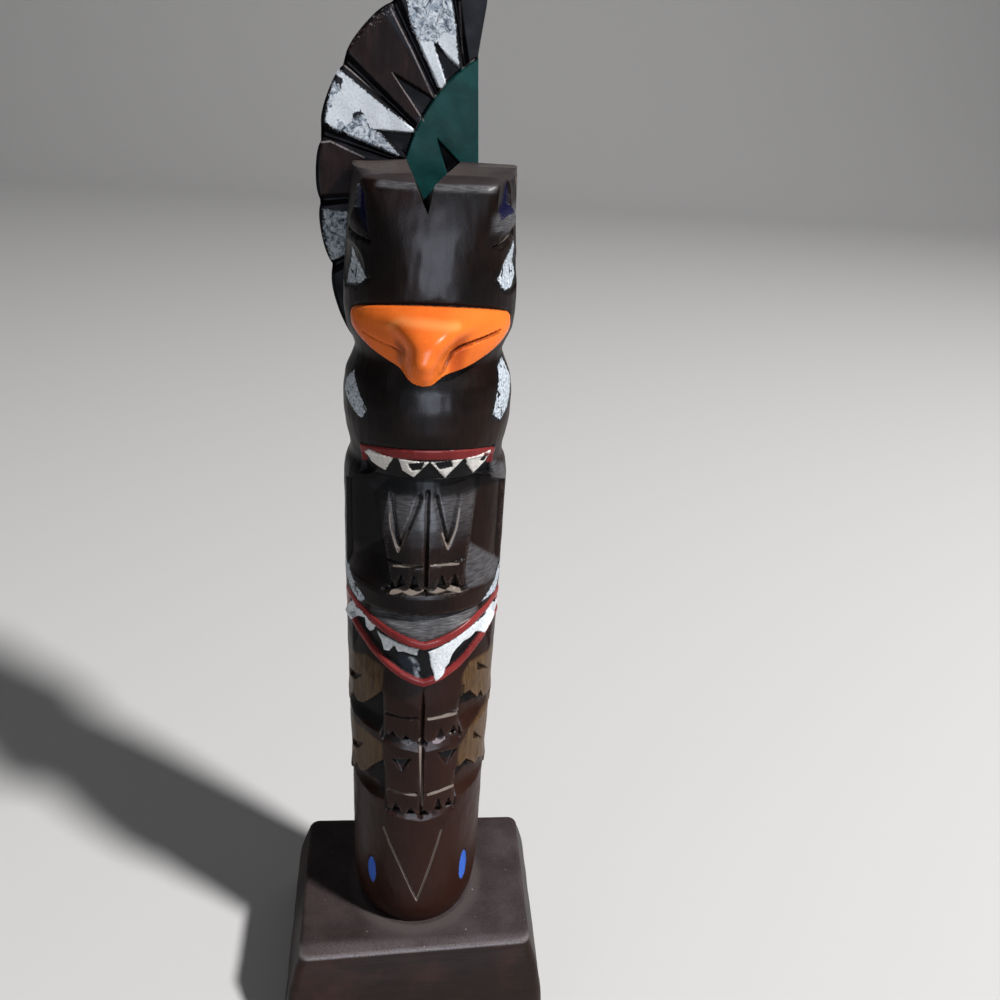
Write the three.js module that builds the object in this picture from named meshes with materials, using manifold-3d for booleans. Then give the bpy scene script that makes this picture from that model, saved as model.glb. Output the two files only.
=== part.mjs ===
// A carved and painted wooden totem pole on a block, with one wing board behind the top figure.
// Millimetres, +Z up. The origin is under the pole's axis, at the middle of the block's underside.
// The figures look towards -Y, and +X is on the right of someone who faces them.

import * as THREE from 'three';
import { mergeVertices } from 'three/addons/utils/BufferGeometryUtils.js';
import Module from 'manifold-3d';

const wasm = await Module();
wasm.setup();

// Driving dimensions
const seatGap = 0.3;

const blockHeight = 38;
const blockFrontWidth = 77.5;
const blockBackWidth = 80;
const blockDepth = 57;
const blockSetBack = 0.9;
const blockSkew = 1.2;
const blockFlare = 6;
const blockCorner = 3.4;
const blockEdge = 1.5;

const poleHeight = 240;
const poleRadius = 22;

const boardThickness = 6;
const boardTopAbovePole = 45;
const boardFanRadius = 42;
const boardInnerEdge = 12;
const featherGrooveDepth = 1.8;
const featherStep = 0.8;
const headFlatDepth = 2.6;

// The pole's carving is drawn for a stick of this height and radius, and follows the real one's.
const drawnHeight = 240;
const drawnRadius = 22;

const cutMargin = 4;
const degree = Math.PI / 180;
const up = (height) => (height * poleHeight) / drawnHeight;
const out = (length) => (length * poleRadius) / drawnRadius;
const mix = (a, b, t) => a + (b - a) * t;
const smooth = (low, high, x) => THREE.MathUtils.smoothstep(x, low, high);

// Solids from geometries, and geometries from solids

function solid(geometry) {
  const bare = geometry.clone();
  bare.deleteAttribute('normal');
  bare.deleteAttribute('uv');
  const merged = mergeVertices(bare, 1e-4);
  return new wasm.Manifold(new wasm.Mesh({
    numProp: 3,
    vertProperties: Float32Array.from(merged.attributes.position.array),
    triVerts: Uint32Array.from(merged.index.array),
  }));
}

function geometryOf(manifold) {
  const mesh = manifold.getMesh();
  const geometry = new THREE.BufferGeometry();
  geometry.setAttribute('position', new THREE.BufferAttribute(mesh.vertProperties, 3));
  geometry.setIndex(new THREE.BufferAttribute(mesh.triVerts, 1));
  geometry.computeVertexNormals();
  return geometry;
}

function volumeOf(points, index) {
  let volume = 0;
  for (let i = 0; i < index.length; i += 3) {
    const [a, b, c] = [points[index[i]], points[index[i + 1]], points[index[i + 2]]];
    volume += a.dot(b.clone().cross(c));
  }
  return volume;
}

function facesAcross(ring) {
  const normal = new THREE.Vector3();
  ring.forEach((p, i) => normal.add(p.clone().cross(ring[(i + 1) % ring.length])));
  const [nx, ny, nz] = normal.toArray().map(Math.abs);
  const flat = (p) => {
    if (nz >= nx && nz >= ny) return new THREE.Vector2(p.x, p.y);
    return ny >= nx ? new THREE.Vector2(p.x, p.z) : new THREE.Vector2(p.y, p.z);
  };
  const contour = ring.map(flat);
  const turn = Math.sign(THREE.ShapeUtils.area(contour));
  return THREE.ShapeUtils.triangulateShape(contour, []).map((face) => {
    const faceTurn = Math.sign(THREE.ShapeUtils.area(face.map((i) => contour[i])));
    return faceTurn === turn ? face : [...face].reverse();
  });
}

// A closed skin through rings that have as many points each, with flat ends
function loft(rings) {
  const count = rings[0].length;
  const last = (rings.length - 1) * count;
  const points = rings.flat().map((p) => new THREE.Vector3(...p));
  const index = [];
  for (let start = 0; start < last; start += count) {
    for (let i = 0; i < count; i += 1) {
      const a = start + i;
      const b = start + ((i + 1) % count);
      index.push(a, b, b + count, a, b + count, a + count);
    }
  }
  facesAcross(points.slice(0, count)).forEach((face) => index.push(...[...face].reverse()));
  facesAcross(points.slice(last)).forEach((face) => index.push(...face.map((i) => i + last)));
  if (volumeOf(points, index) < 0) index.reverse();
  const geometry = new THREE.BufferGeometry().setFromPoints(points);
  geometry.setIndex(index);
  return solid(geometry);
}

// Carving on the pole. Angles are degrees round the axis from the front, positive to the right.

function onPole(angle, radius, height) {
  const turn = angle * degree;
  return [out(radius) * Math.sin(turn), -out(radius) * Math.cos(turn), up(height)];
}

const angleAt = (x, radius = drawnRadius) => Math.asin(THREE.MathUtils.clamp(x / radius, -1, 1)) / degree;
const spread = (from, to, steps) => Array.from({ length: steps + 1 }, (_, i) => mix(from, to, i / steps));
const mirrored = (side, angles) => angles.map((angle) => side * angle);

// The value at x of a line through [x, value] points
function along(points, x) {
  const next = points.findIndex(([px]) => px >= x);
  if (next === 0) return points[0][1];
  if (next < 0) return points[points.length - 1][1];
  const [[x0, v0], [x1, v1]] = [points[next - 1], points[next]];
  return mix(v0, v1, (x - x0) / (x1 - x0));
}

// A body swept round the axis, whose section [radius, height] changes with the angle
function sweep(angles, section) {
  return loft(angles.map((angle) => section(angle).map(([r, height]) => onPole(angle, r, height))));
}

// A body between a carved surface and a plain inner or outer radius, used to add wood or to cut it
function relief({ angles, rows, low, high, surface, back }) {
  return sweep(angles, (angle) => {
    const face = spread(0, 1, rows).map((t) => {
      const height = mix(low(angle), high(angle), t);
      return [surface(angle, height, t), height];
    });
    return [...face, [back, high(angle)], [back, low(angle)]];
  });
}

const outside = drawnRadius + 3 * cutMargin;
const inside = drawnRadius / 2;

// A V-shaped knife cut along a path of [x, height] points seen from the front, as wide at the
// surface as the given widths at its two ends
function knifeCut(path, widths, depth, skin = () => drawnRadius) {
  const rings = path.map(([x, height], i) => {
    const radius = skin(height);
    const [x0, h0] = path[Math.max(i - 1, 0)];
    const [x1, h1] = path[Math.min(i + 1, path.length - 1)];
    const length = Math.hypot(x1 - x0, h1 - h0);
    const width = mix(widths[0], widths[1], i / (path.length - 1));
    const across = [(-(h1 - h0) / length) * width, ((x1 - x0) / length) * width];
    const bearing = angleAt(x, radius);
    const turn = across[0] / radius / degree;
    return [
      onPole(bearing + turn, radius + depth, height + across[1]),
      onPole(bearing - turn, radius + depth, height - across[1]),
      onPole(bearing, radius - depth, height),
    ];
  });
  return loft(rings);
}

// A straight cut from front to back with a flat outline of [x, height] points
function throughCut(outline) {
  const shape = new THREE.Shape(outline.map(([x, height]) => new THREE.Vector2(out(x), up(height))));
  const reach = 3 * poleRadius;
  const geometry = new THREE.ExtrudeGeometry(shape, { depth: reach, bevelEnabled: false });
  geometry.rotateX(Math.PI / 2);
  geometry.translate(0, reach / 2, 0);
  return solid(geometry);
}

// The stick as it is rounded before the figures are cut into it
function roundedStick() {
  const profile = [
    [0, 0], [18.6, 0], [19.9, 3.5], [20.9, 9], [21.3, 18], [21.3, 56], [21.9, 76],
    [22.3, 110], [22.5, 135], [22.4, 163], [21.9, 167], [20.6, 169.5], [20.8, 173],
    [21.5, 176], [22.2, 181], [22.2, 187], [21.4, 192], [19.6, 196], [18.9, 198],
    [19.6, 200.5], [21.2, 204], [21.8, 209], [21.6, 216], [21, 224], [20.9, 240], [0, 240],
  ];
  const points = profile.map(([radius, height]) => new THREE.Vector2(out(radius), up(height)));
  const geometry = new THREE.LatheGeometry(points, 44);
  geometry.rotateX(Math.PI / 2);
  return solid(geometry);
}

// The head at the top keeps more of the blank behind, where it is square and flat
const head = {
  foot: 200,
  shoulder: 207,
  top: 240,
  halfWidth: 20,
  corner: 3.2,
  templeWidth: 17.9,
  templeSlope: 0.16,
  templeFoot: 222,
  faceFoot: 213,
  faceRadius: 16.2,
  faceAngle: 54,
  notch: [[-6.6, 244], [-1.9, 233.3], [4.9, 244]],
};

function headBack() {
  const flatDepth = poleRadius - headFlatDepth;
  const plan = (shrink) => {
    const half = out(head.halfWidth) * shrink;
    const back = flatDepth * shrink;
    const corner = out(head.corner);
    return [
      [-half, -corner], [-half, back - corner], [-half + corner * 0.3, back - corner * 0.3],
      [-half + corner, back], [half - corner, back], [half - corner * 0.3, back - corner * 0.3],
      [half, back - corner], [half, -corner],
    ];
  };
  const levels = [[head.foot, 0.86], [head.shoulder, 0.985], [head.shoulder + 5, 1], [head.top, 1]];
  return loft(levels.map(([height, shrink]) => plan(shrink).map(([x, y]) => [x, y, up(height)])));
}

function headFlat() {
  const reach = 2 * poleRadius;
  const low = up(184);
  const flat = new THREE.BoxGeometry(2 * reach, reach, poleHeight - low + 2 * cutMargin);
  flat.translate(0, poleRadius - headFlatDepth + reach / 2, (poleHeight + low) / 2 + cutMargin);
  return solid(flat);
}

function foreheadCut() {
  return relief({
    angles: spread(-head.faceAngle, head.faceAngle, 16),
    rows: 5,
    low: () => head.faceFoot,
    high: () => head.top + cutMargin,
    surface: (angle, height) => {
      const slope = smooth(head.faceFoot, 236, height);
      return mix(drawnRadius, head.faceRadius, slope) / Math.cos(angle * 0.8 * degree);
    },
    back: outside,
  });
}

// A flat facet at each side of the head, which is narrowest in front and at the top
function templeCut(side) {
  const front = -poleRadius - cutMargin;
  const back = poleRadius;
  const edge = (y, clear) => side * (out(head.templeWidth + clear) + head.templeSlope * y);
  const ring = (height, clear) => [
    [edge(front, clear), front, up(height)], [edge(back, clear), back, up(height)],
    [side * 2 * poleRadius, back, up(height)], [side * 2 * poleRadius, front, up(height)],
  ];
  return loft([ring(head.templeFoot, 3.4), ring(head.top + cutMargin, 0)]);
}

function eyeSocket(side) {
  const socket = new THREE.SphereGeometry(1, 12, 8);
  socket.scale(out(3.4), out(8), up(6));
  socket.rotateZ(-side * 20 * degree);
  socket.translate(...onPole(side * 70, 22.6, 219));
  return solid(socket);
}

function earCut(side) {
  return knifeCut([[side * 18, 240], [side * 17.2, 234], [side * 14.8, 228]], [3.6, 1.2], 2.4, () => 21);
}

function browCut(side) {
  const path = [[side * 14.4, 225.6], [side * 17.4, 227], [side * 20.6, 228]];
  return knifeCut(path, [0.8, 2.2], 1.5, () => 21.2);
}

// The beak runs round the head, thick above, and comes forward to a hooked point
const beak = {
  halfAngle: 62,
  tipAngle: -3,
  top: 213,
  topSide: 209.6,
  foot: 196.2,
  footSide: 206,
  cheek: 22,
  cere: 2.6,
  nose: 8.8,
  noseAngle: 9,
};

const beakShare = (angle) => Math.abs(angle) / beak.halfAngle;
const beakTop = (angle) => mix(beak.top, beak.topSide, beakShare(angle) ** 2);
const beakFoot = (angle) => mix(beak.foot, beak.footSide, beakShare(angle) ** 1.32);

function beakSurface(angle, height, t) {
  const noseLine = [[0, 0.8], [0.1, 0.97], [0.35, 1], [0.6, 0.7], [0.85, 0.25], [1, 0]];
  const cheek = 1.5 * Math.sin(Math.PI * mix(0.1, 1, t)) * (1 - beakShare(angle) ** 8);
  const cere = beak.cere * Math.exp(-((angle / 30) ** 2)) * Math.sin(Math.PI * t ** 1.6);
  const fromTip = Math.abs(angle - beak.tipAngle) / beak.noseAngle;
  const nose = beak.nose * along(noseLine, t) * Math.exp(-(fromTip ** 1.9));
  return beak.cheek + cheek + cere + nose;
}

function beakBody() {
  const close = spread(-1, 1, 24).map((u) => Math.sign(u) * Math.abs(u) ** 1.5 * beak.halfAngle);
  return relief({
    angles: close,
    rows: 7,
    low: beakFoot,
    high: beakTop,
    surface: beakSurface,
    back: inside,
  });
}

function gapeCut(side) {
  const path = [[16.4, 206.6], [12.5, 205.4], [8.5, 203.6], [5.4, 200.8]];
  return knifeCut(path.map(([x, height]) => [side * x, height]), [0.4, 0.8], 1.1, () => 23.6);
}

// The second head has a round face, and a lip over a row of teeth
const mouth = { halfAngle: 54, lipTop: 177, lipTopSide: 174.4, lip: 174.3, lipSide: 172.4, jaw: 168.4 };

function lipGroove() {
  return sweep(spread(-mouth.halfAngle, mouth.halfAngle, 12), (angle) => {
    const height = mix(mouth.lipTop, mouth.lipTopSide, (angle / mouth.halfAngle) ** 2);
    return [[21, height], [outside, height + 3], [outside, height - 1]];
  });
}

function toothedMouth() {
  return relief({
    angles: spread(-mouth.halfAngle, mouth.halfAngle, 12),
    rows: 1,
    low: () => mouth.jaw - cutMargin,
    high: (angle) => mix(mouth.lip, mouth.lipSide, (angle / mouth.halfAngle) ** 2),
    surface: (angle, height, t) => mix(19.4, 20.9, t),
    back: outside,
  });
}

// The upper paws: a wedge of wood left standing in a hollow between the figure's arms
const hollow = { halfAngle: 74, top: 168.2, foot: 134.8, floor: 17.8, sideFloor: 21.3 };

// Levels of the wedge, from its foot: height, left and right edges, and the radius of its face
const pawLevels = [
  [136.8, -9.2, 10.6, 21.9], [149, -11.4, 12, 21.6], [154, -12.4, 12.6, 20.8],
  [160, -14, 13.4, 19.4], [166, -15.8, 14.2, 17.9], [171, -16.4, 14.6, 17.6],
];
const pawRadius = (wanted) => along(pawLevels.map(([height, , , radius]) => [height, radius]), wanted);

function pawBlock(levels) {
  return loft(levels.map(([height, left, right, radius]) => {
    const depth = (x) => -out(Math.sqrt(radius ** 2 - x ** 2));
    const face = spread(right, left, 4).map((x) => [out(x), depth(x), up(height)]);
    return [[out(left), 0, up(height)], [out(right), 0, up(height)], ...face];
  }));
}

function upperPaws() {
  const space = relief({
    angles: spread(-hollow.halfAngle, hollow.halfAngle, 18),
    rows: 4,
    low: () => hollow.foot,
    high: (angle) => hollow.top - 1.6 * (angle / hollow.halfAngle) ** 2,
    surface: (angle, height) => {
      const side = smooth(26, hollow.halfAngle, Math.abs(angle));
      const floor = mix(hollow.floor, hollow.sideFloor, side);
      const bend = mix(149, 140, smooth(30, hollow.halfAngle, Math.abs(angle)));
      return mix(drawnRadius + 0.4, floor, smooth(0, 1, (height - hollow.foot) / (bend - hollow.foot)));
    },
    back: outside,
  });
  return space.subtract(pawBlock(pawLevels));
}

function clawNotch(x, height, width = 1.6, rise = 3.6) {
  const outline = [[x - width, height - 2], [x, height + rise], [x + width, height - 2]];
  const section = (radius) => outline.map(([px, h]) => onPole(angleAt(px), radius, h));
  return loft([section(drawnRadius - 3), section(drawnRadius + cutMargin)]);
}

function upperPawCuts() {
  return [
    knifeCut([[-11, 162.5], [-8.9, 155], [-6.9, 148]], [2.2, 1.2], 1.2, pawRadius),
    knifeCut([[-1.9, 162.5], [-4.3, 155], [-6.9, 148]], [2.2, 1.2], 1.2, pawRadius),
    knifeCut([[2.2, 163], [4, 156], [5.4, 149]], [2.2, 1.2], 1.2, pawRadius),
    knifeCut([[9.8, 163], [7.6, 156], [5.4, 149]], [2.2, 1.2], 1.2, pawRadius),
    knifeCut([[0.1, 164], [0.1, 150], [0.1, 135]], [1, 1], 1.2, pawRadius),
    knifeCut([[-10.2, 144], [-5.5, 143.5], [-1.3, 143.8]], [1, 1], 0.9, pawRadius),
    knifeCut([[2.2, 144.4], [6, 144], [10.4, 144.6]], [1, 1], 0.9, pawRadius),
    ...[-6.7, -3.2, 4.4, 7.9].map((x) => clawNotch(x, 137)),
  ];
}

// The third head has a heavy brow over a snout with a wide V-shaped mouth
const snout = {
  halfAngle: 76,
  reach: 25,
  side: 22.5,
  ridgeAngle: 50,
  lipTop: 121,
  lipTopSide: 128,
  lipFoot: 105.8,
  lipFootSide: 118.5,
  lipWidth: 2.4,
  browFoot: 128.2,
};

const snoutShare = (angle) => Math.min(Math.abs(angle) / 64, 1);
const snoutTop = (angle) => mix(snout.lipTop, snout.lipTopSide, snoutShare(angle));
const snoutFoot = (angle) => mix(snout.lipFoot, snout.lipFootSide, snoutShare(angle) ** 1.15);
const snoutRadius = (angle) => mix(snout.reach, snout.side, smooth(0, snout.ridgeAngle, Math.abs(angle)));

function snoutBody() {
  return relief({
    angles: spread(-snout.halfAngle, snout.halfAngle, 24),
    rows: 1,
    low: snoutFoot,
    high: snoutTop,
    surface: (angle) => snoutRadius(angle) - smooth(snout.halfAngle - 10, snout.halfAngle, Math.abs(angle)),
    back: inside,
  });
}

function mouthCut() {
  return relief({
    angles: spread(-62, 62, 20),
    rows: 1,
    low: (angle) => snoutFoot(angle) + snout.lipWidth,
    high: (angle) => snoutTop(angle) - snout.lipWidth,
    surface: (angle) => snoutRadius(angle) - 0.9,
    back: outside,
  });
}

// The sloping top of the snout, between the brow and the upper lip
function snoutSlope() {
  return relief({
    angles: spread(-46, 46, 16),
    rows: 2,
    low: snoutTop,
    high: () => snout.browFoot,
    surface: (angle, height, t) => {
      const underBrow = mix(20, 21.8, smooth(24, 46, Math.abs(angle)));
      return mix(snoutRadius(angle), underBrow, t ** 0.8);
    },
    back: outside,
  });
}

function chinCut() {
  return relief({
    angles: spread(-64, 64, 16),
    rows: 1,
    low: (angle) => snoutFoot(angle) - 11,
    high: snoutFoot,
    surface: (angle, height, t) => mix(drawnRadius + 0.3, 20.7, t),
    back: outside,
  });
}

// Each lower tier has a pair of fins with ragged ends at its sides, and a pair of paws between them.
// An edge is a line of [angle, height] points from the paws outwards.
const tiers = [
  {
    fins: [[33, 99], [42, 95.3], [58, 90.3], [64, 92], [76, 87.2], [82, 88.5], [92, 80.5], [104, 92]],
    shelf: 81.5,
    finHeight: 20,
    finRadius: 22.4,
    centre: 0.2,
    halfWidth: 11.9,
    top: 104,
    knuckle: 92.4,
    claws: 84.4,
    droop: 2,
    notches: [-8.5, -4.4, 5.7, 9.6],
  },
  {
    fins: [[33, 72.5], [42, 68.5], [56, 62.8], [62, 64.4], [71, 60.4], [78, 61.6], [88, 54], [102, 64]],
    shelf: 49,
    finHeight: 19,
    finRadius: 22,
    centre: 0.5,
    halfWidth: 11.3,
    top: 81,
    knuckle: 61.9,
    claws: 54,
    droop: 1.6,
    notches: [-7.4, -2.7, 6.1, 9.4],
    chips: [[-5.8, 75], [8.2, 77]],
  },
];

const finAngles = (tier) => tier.fins.map(([angle]) => angle);

function finFlap(tier, side) {
  return relief({
    angles: mirrored(side, finAngles(tier)),
    rows: 1,
    low: (angle) => along(tier.fins, Math.abs(angle)),
    high: (angle) => along(tier.fins, Math.abs(angle)) + tier.finHeight,
    surface: (angle, height, t) => tier.finRadius - 1.4 * t,
    back: inside,
  });
}

function finGap(tier, side) {
  return relief({
    angles: mirrored(side, finAngles(tier)),
    rows: 1,
    low: (angle) => Math.min(tier.shelf, along(tier.fins, Math.abs(angle)) - 5),
    high: (angle) => along(tier.fins, Math.abs(angle)),
    surface: (angle, height, t) => {
      const underFin = mix(19.3, 20.6, smooth(50, 104, Math.abs(angle)));
      return mix(drawnRadius + 0.4, underFin, t);
    },
    back: outside,
  });
}

function finNotch(tier, side) {
  const angle = 64;
  const height = along(tier.fins, angle) + 10;
  const path = [[side * 17, height + 2], [side * 19.2, height - 1], [side * 21.2, height - 4]];
  return knifeCut(path, [1, 2.4], 1.5);
}

function pawPanel({ centre, halfWidth, top, knuckle, claws, droop, notches, chips = [] }) {
  const left = centre - halfWidth;
  const right = centre + halfWidth;
  const edge = (angle) => claws - droop * (1 - Math.abs(angle - angleAt(centre)) / angleAt(halfWidth));
  const under = relief({
    angles: spread(angleAt(left), angleAt(right), 8),
    rows: 1,
    low: (angle) => edge(angle) - 4,
    high: edge,
    surface: (angle, height, t) => mix(drawnRadius + 0.2, 19.8, t),
    back: outside,
  });
  const leftKnuckle = [[left + 0.5, knuckle], [centre - halfWidth / 2, knuckle - 0.4], [centre - 1.2, knuckle]];
  const rightKnuckle = [[centre + 1.4, knuckle], [centre + halfWidth / 2, knuckle], [right - 0.5, knuckle + 0.8]];
  return [
    under,
    knifeCut([[centre, top], [centre, mix(top, claws, 0.5)], [centre, claws - 3]], [0.9, 0.9], 1.3),
    knifeCut(leftKnuckle, [1.1, 1.1], 1),
    knifeCut(rightKnuckle, [1.1, 1.1], 1),
    ...notches.map((x) => clawNotch(x, edge(angleAt(x)))),
    ...chips.map(([x, height]) => chipCut(x, height)),
  ];
}

function chipCut(x, height) {
  const outline = [[x - 3, height + 0.7], [x + 3, height + 0.9], [x + 0.2, height - 4.6]];
  const deep = outline.map(([px, h], i) => onPole(angleAt(mix(x, px, 0.7)), i === 2 ? 22.4 : 20.2, h));
  return loft([outline.map(([px, h]) => onPole(angleAt(px), outside, h)), deep]);
}

// The plain foot of the stick carries a V and a shallow oval on each side
function shaftMarks() {
  const ovals = [-1, 1].map((side) => {
    const oval = new THREE.SphereGeometry(1, 10, 6);
    oval.scale(out(2), out(1.1), up(6.2));
    oval.rotateZ(side * 47 * degree);
    oval.translate(...onPole(side * 47, 21.4, 21.8));
    return solid(oval);
  });
  return [
    knifeCut([[-11, 43.5], [-5.5, 28.5], [0.1, 13.5]], [0.8, 0.8], 0.7, () => 21.2),
    knifeCut([[8, 43.5], [4.2, 28.5], [0.1, 13.5]], [0.8, 0.8], 0.7, () => 21.2),
    ...ovals,
  ];
}

function poleSolid() {
  const sides = [-1, 1];
  const added = [headBack(), ...tiers.flatMap((tier) => sides.map((side) => finFlap(tier, side)))];
  const cuts = [
    headFlat(),
    foreheadCut(),
    throughCut(head.notch),
    ...sides.flatMap((side) => [templeCut(side), eyeSocket(side), earCut(side), browCut(side)]),
    lipGroove(),
    toothedMouth(),
    upperPaws(),
    ...upperPawCuts(),
    ...tiers.flatMap((tier) => sides.flatMap((side) => [finGap(tier, side), finNotch(tier, side)])),
    ...tiers.flatMap((tier) => pawPanel(tier)),
    chinCut(),
    ...shaftMarks(),
  ];
  let pole = roundedStick();
  for (const wood of added) pole = pole.add(wood);
  for (const cut of cuts) pole = pole.subtract(cut);
  pole = pole.add(snoutBody()).subtract(snoutSlope()).subtract(mouthCut());
  return pole.add(beakBody()).subtract(gapeCut(-1)).subtract(gapeCut(1));
}

// The block the pole stands on, with soft edges and sides that swell towards the bottom
function blockSolid() {
  const steps = 4;
  const ring = (height, spread, inset) => {
    const front = blockFrontWidth / 2 + spread - inset;
    const back = blockBackWidth / 2 + spread - inset;
    const frontY = -blockDepth / 2 - spread + inset - blockSetBack;
    const backY = blockDepth / 2 + spread - inset - blockSetBack;
    const corners = [
      [front, frontY + blockSkew], [back, backY - blockSkew / 2],
      [-back, backY + blockSkew / 2], [-front, frontY - blockSkew],
    ];
    const radius = Math.max(blockCorner - inset / 2, 1);
    return corners.flatMap(([x, y], corner) => {
      const centre = [x - Math.sign(x) * radius, y - Math.sign(y) * radius];
      return Array.from({ length: steps + 1 }, (_, i) => {
        const turn = (corner - 1 + i / steps) * 90 * degree;
        return [centre[0] + radius * Math.cos(turn), centre[1] + radius * Math.sin(turn), height];
      });
    });
  };
  const rings = [ring(0, blockFlare, 0.6)];
  for (let i = 0; i < steps; i += 1) {
    const t = i / steps;
    rings.push(ring(mix(0.8, blockHeight - blockEdge, t), blockFlare * (1 - t ** 2), 0));
  }
  for (let i = 0; i <= steps; i += 1) {
    const turn = (i / steps) * 90 * degree;
    const inset = blockEdge * (1 - Math.cos(turn));
    rings.push(ring(blockHeight - blockEdge * (1 - Math.sin(turn)), 0, inset));
  }
  return loft(rings);
}

// The wing board: feathers fan out from a point behind the head and end at a round shoulder
const fan = {
  x: 12.5,
  height: poleHeight - 8,
  feathers: [
    { from: 231, to: 208.5, start: boardFanRadius + 9.8, end: boardFanRadius + 2.6 },
    { from: 206, to: 184.6, start: boardFanRadius + 1.3, end: boardFanRadius - 0.1 },
    { from: 183, to: 163.5, start: boardFanRadius - 0.1, end: boardFanRadius + 0.9 },
    { from: 159, to: 139.5, start: boardFanRadius + 1.9, end: boardFanRadius + 4.2 },
    { from: 137, to: 118, start: boardFanRadius + 5.2, end: boardFanRadius + 8.1 },
    { from: 116, to: 100.5, start: boardFanRadius + 8.4, end: boardFanRadius + 10.2 },
    { from: 99.5, to: 94.5, start: boardFanRadius + 10.4, end: boardFanRadius + 11 },
  ],
  bulge: 0.6,
  shoulderOffset: [20.9, -1.5],
  shoulderRadius: 41.4,
};

const fanPoint = (angle, radius) => [
  fan.x + radius * Math.cos(angle * degree),
  fan.height + radius * Math.sin(angle * degree),
];

function boardOutline() {
  const rim = fan.feathers.flatMap(({ from, to, start, end }) => {
    const steps = 6;
    return Array.from({ length: steps + 1 }, (_, i) => {
      const t = i / steps;
      return fanPoint(mix(from, to, t), mix(start, end, t) - fan.bulge * (2 * t - 1) ** 4);
    });
  });
  const top = poleHeight + boardTopAbovePole;
  return [
    ...rim,
    [boardInnerEdge - 0.6, top],
    [boardInnerEdge + 1, top - 1.4],
    [boardInnerEdge + 0.6, top - 8],
    [boardInnerEdge - 1, poleHeight + 26],
    [boardInnerEdge + 0.3, poleHeight + 1],
    [boardInnerEdge, poleHeight - 42],
    [boardInnerEdge - 3, poleHeight - 46],
    [-16.5, poleHeight - 55],
  ];
}

function boardPrism(outline, front, back) {
  const shape = new THREE.Shape(outline.map(([x, height]) => new THREE.Vector2(x, height)));
  const geometry = new THREE.ExtrudeGeometry(shape, { depth: back - front, bevelEnabled: false });
  geometry.rotateX(Math.PI / 2);
  geometry.translate(0, back, 0);
  return solid(geometry);
}

// A V-groove in the board's face between two [x, height] points, wider at its outer end
function boardGroove(inner, outer, innerWidth, outerWidth, depth) {
  const along = new THREE.Vector2(outer[0] - inner[0], outer[1] - inner[1]).normalize();
  const across = [-along.y, along.x];
  const section = ([x, height], width) => [
    [x + across[0] * width, -0.2, height + across[1] * width],
    [x - across[0] * width, -0.2, height - across[1] * width],
    [x, depth, height],
  ];
  const past = [outer[0] + along.x * cutMargin, outer[1] + along.y * cutMargin];
  return loft([section(inner, innerWidth), section(outer, outerWidth), section(past, outerWidth)]);
}

// A chip cut: a triangle of the face that falls away towards its wide end
function boardChip(apex, left, right, depth) {
  const deep = (point) => [point[0], depth, point[1]];
  const face = (point) => [point[0], -0.2, point[1]];
  return loft([[face(apex), face(left), face(right)], [[apex[0], 0.1, apex[1]], deep(left), deep(right)]]);
}

function boardSolid() {
  const shoulderShape = new THREE.CylinderGeometry(fan.shoulderRadius, fan.shoulderRadius, 2 * boardThickness, 56);
  shoulderShape.translate(fan.x + fan.shoulderOffset[0], 0, fan.height + fan.shoulderOffset[1]);
  const shoulder = solid(shoulderShape);
  const reach = 3 * fan.shoulderRadius;
  const face = new THREE.BoxGeometry(2 * reach, 2 * featherStep, 2 * reach);
  face.translate(0, 0, fan.height);
  const depth = featherStep + featherGrooveDepth;
  const lift = poleHeight - drawnHeight;
  const chip = (corners) => boardChip(...corners.map(([x, height]) => [x, height + lift]), depth);
  const featherCuts = [
    solid(face),
    chip([[-13.8, 247.3], [-6.2, 241.6], [-3.4, 247]]),
    chip([[-10.1, 260.6], [-2, 249.4], [2, 254.6]]),
    chip([[0, 267.8], [3.8, 257.4], [8, 261.6]]),
  ];
  fan.feathers.slice(1).forEach((feather, i) => {
    const before = fan.feathers[i];
    const angle = (before.to + feather.from) / 2;
    const width = 0.9 + 0.36 * (before.to - feather.from);
    const inner = fanPoint(angle - 4, fan.shoulderRadius * 0.48);
    featherCuts.push(boardGroove(inner, fanPoint(angle, feather.start), 0.9, width, depth));
  });
  let board = boardPrism(boardOutline(), 0, boardThickness);
  for (const cut of featherCuts) board = board.subtract(cut.subtract(shoulder));
  return board.subtract(chip([[1.4, 246], [4.3, 237.4], [7.4, 240.6]]));
}

// Each piece in its place, with its own finish

function piece(name, manifold, color, roughness) {
  const material = new THREE.MeshStandardMaterial({ color, roughness, metalness: 0 });
  const mesh = new THREE.Mesh(geometryOf(manifold), material);
  mesh.name = name;
  return mesh;
}

const totemPole = new THREE.Group();

const block = piece('base_block', blockSolid(), 0x35262a, 0.45);
totemPole.add(block);

const standing = new THREE.Group();
standing.position.z = blockHeight + seatGap;
totemPole.add(standing);

const pole = piece('totem_pole', poleSolid(), 0x2b201d, 0.5);
standing.add(pole);

const board = piece('wing_board', boardSolid(), 0x33312f, 0.55);
board.position.y = poleRadius - headFlatDepth + seatGap;
standing.add(board);

export default totemPole;
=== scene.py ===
import functools
import math

import bpy
import numpy as np
from mathutils import Matrix


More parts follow.
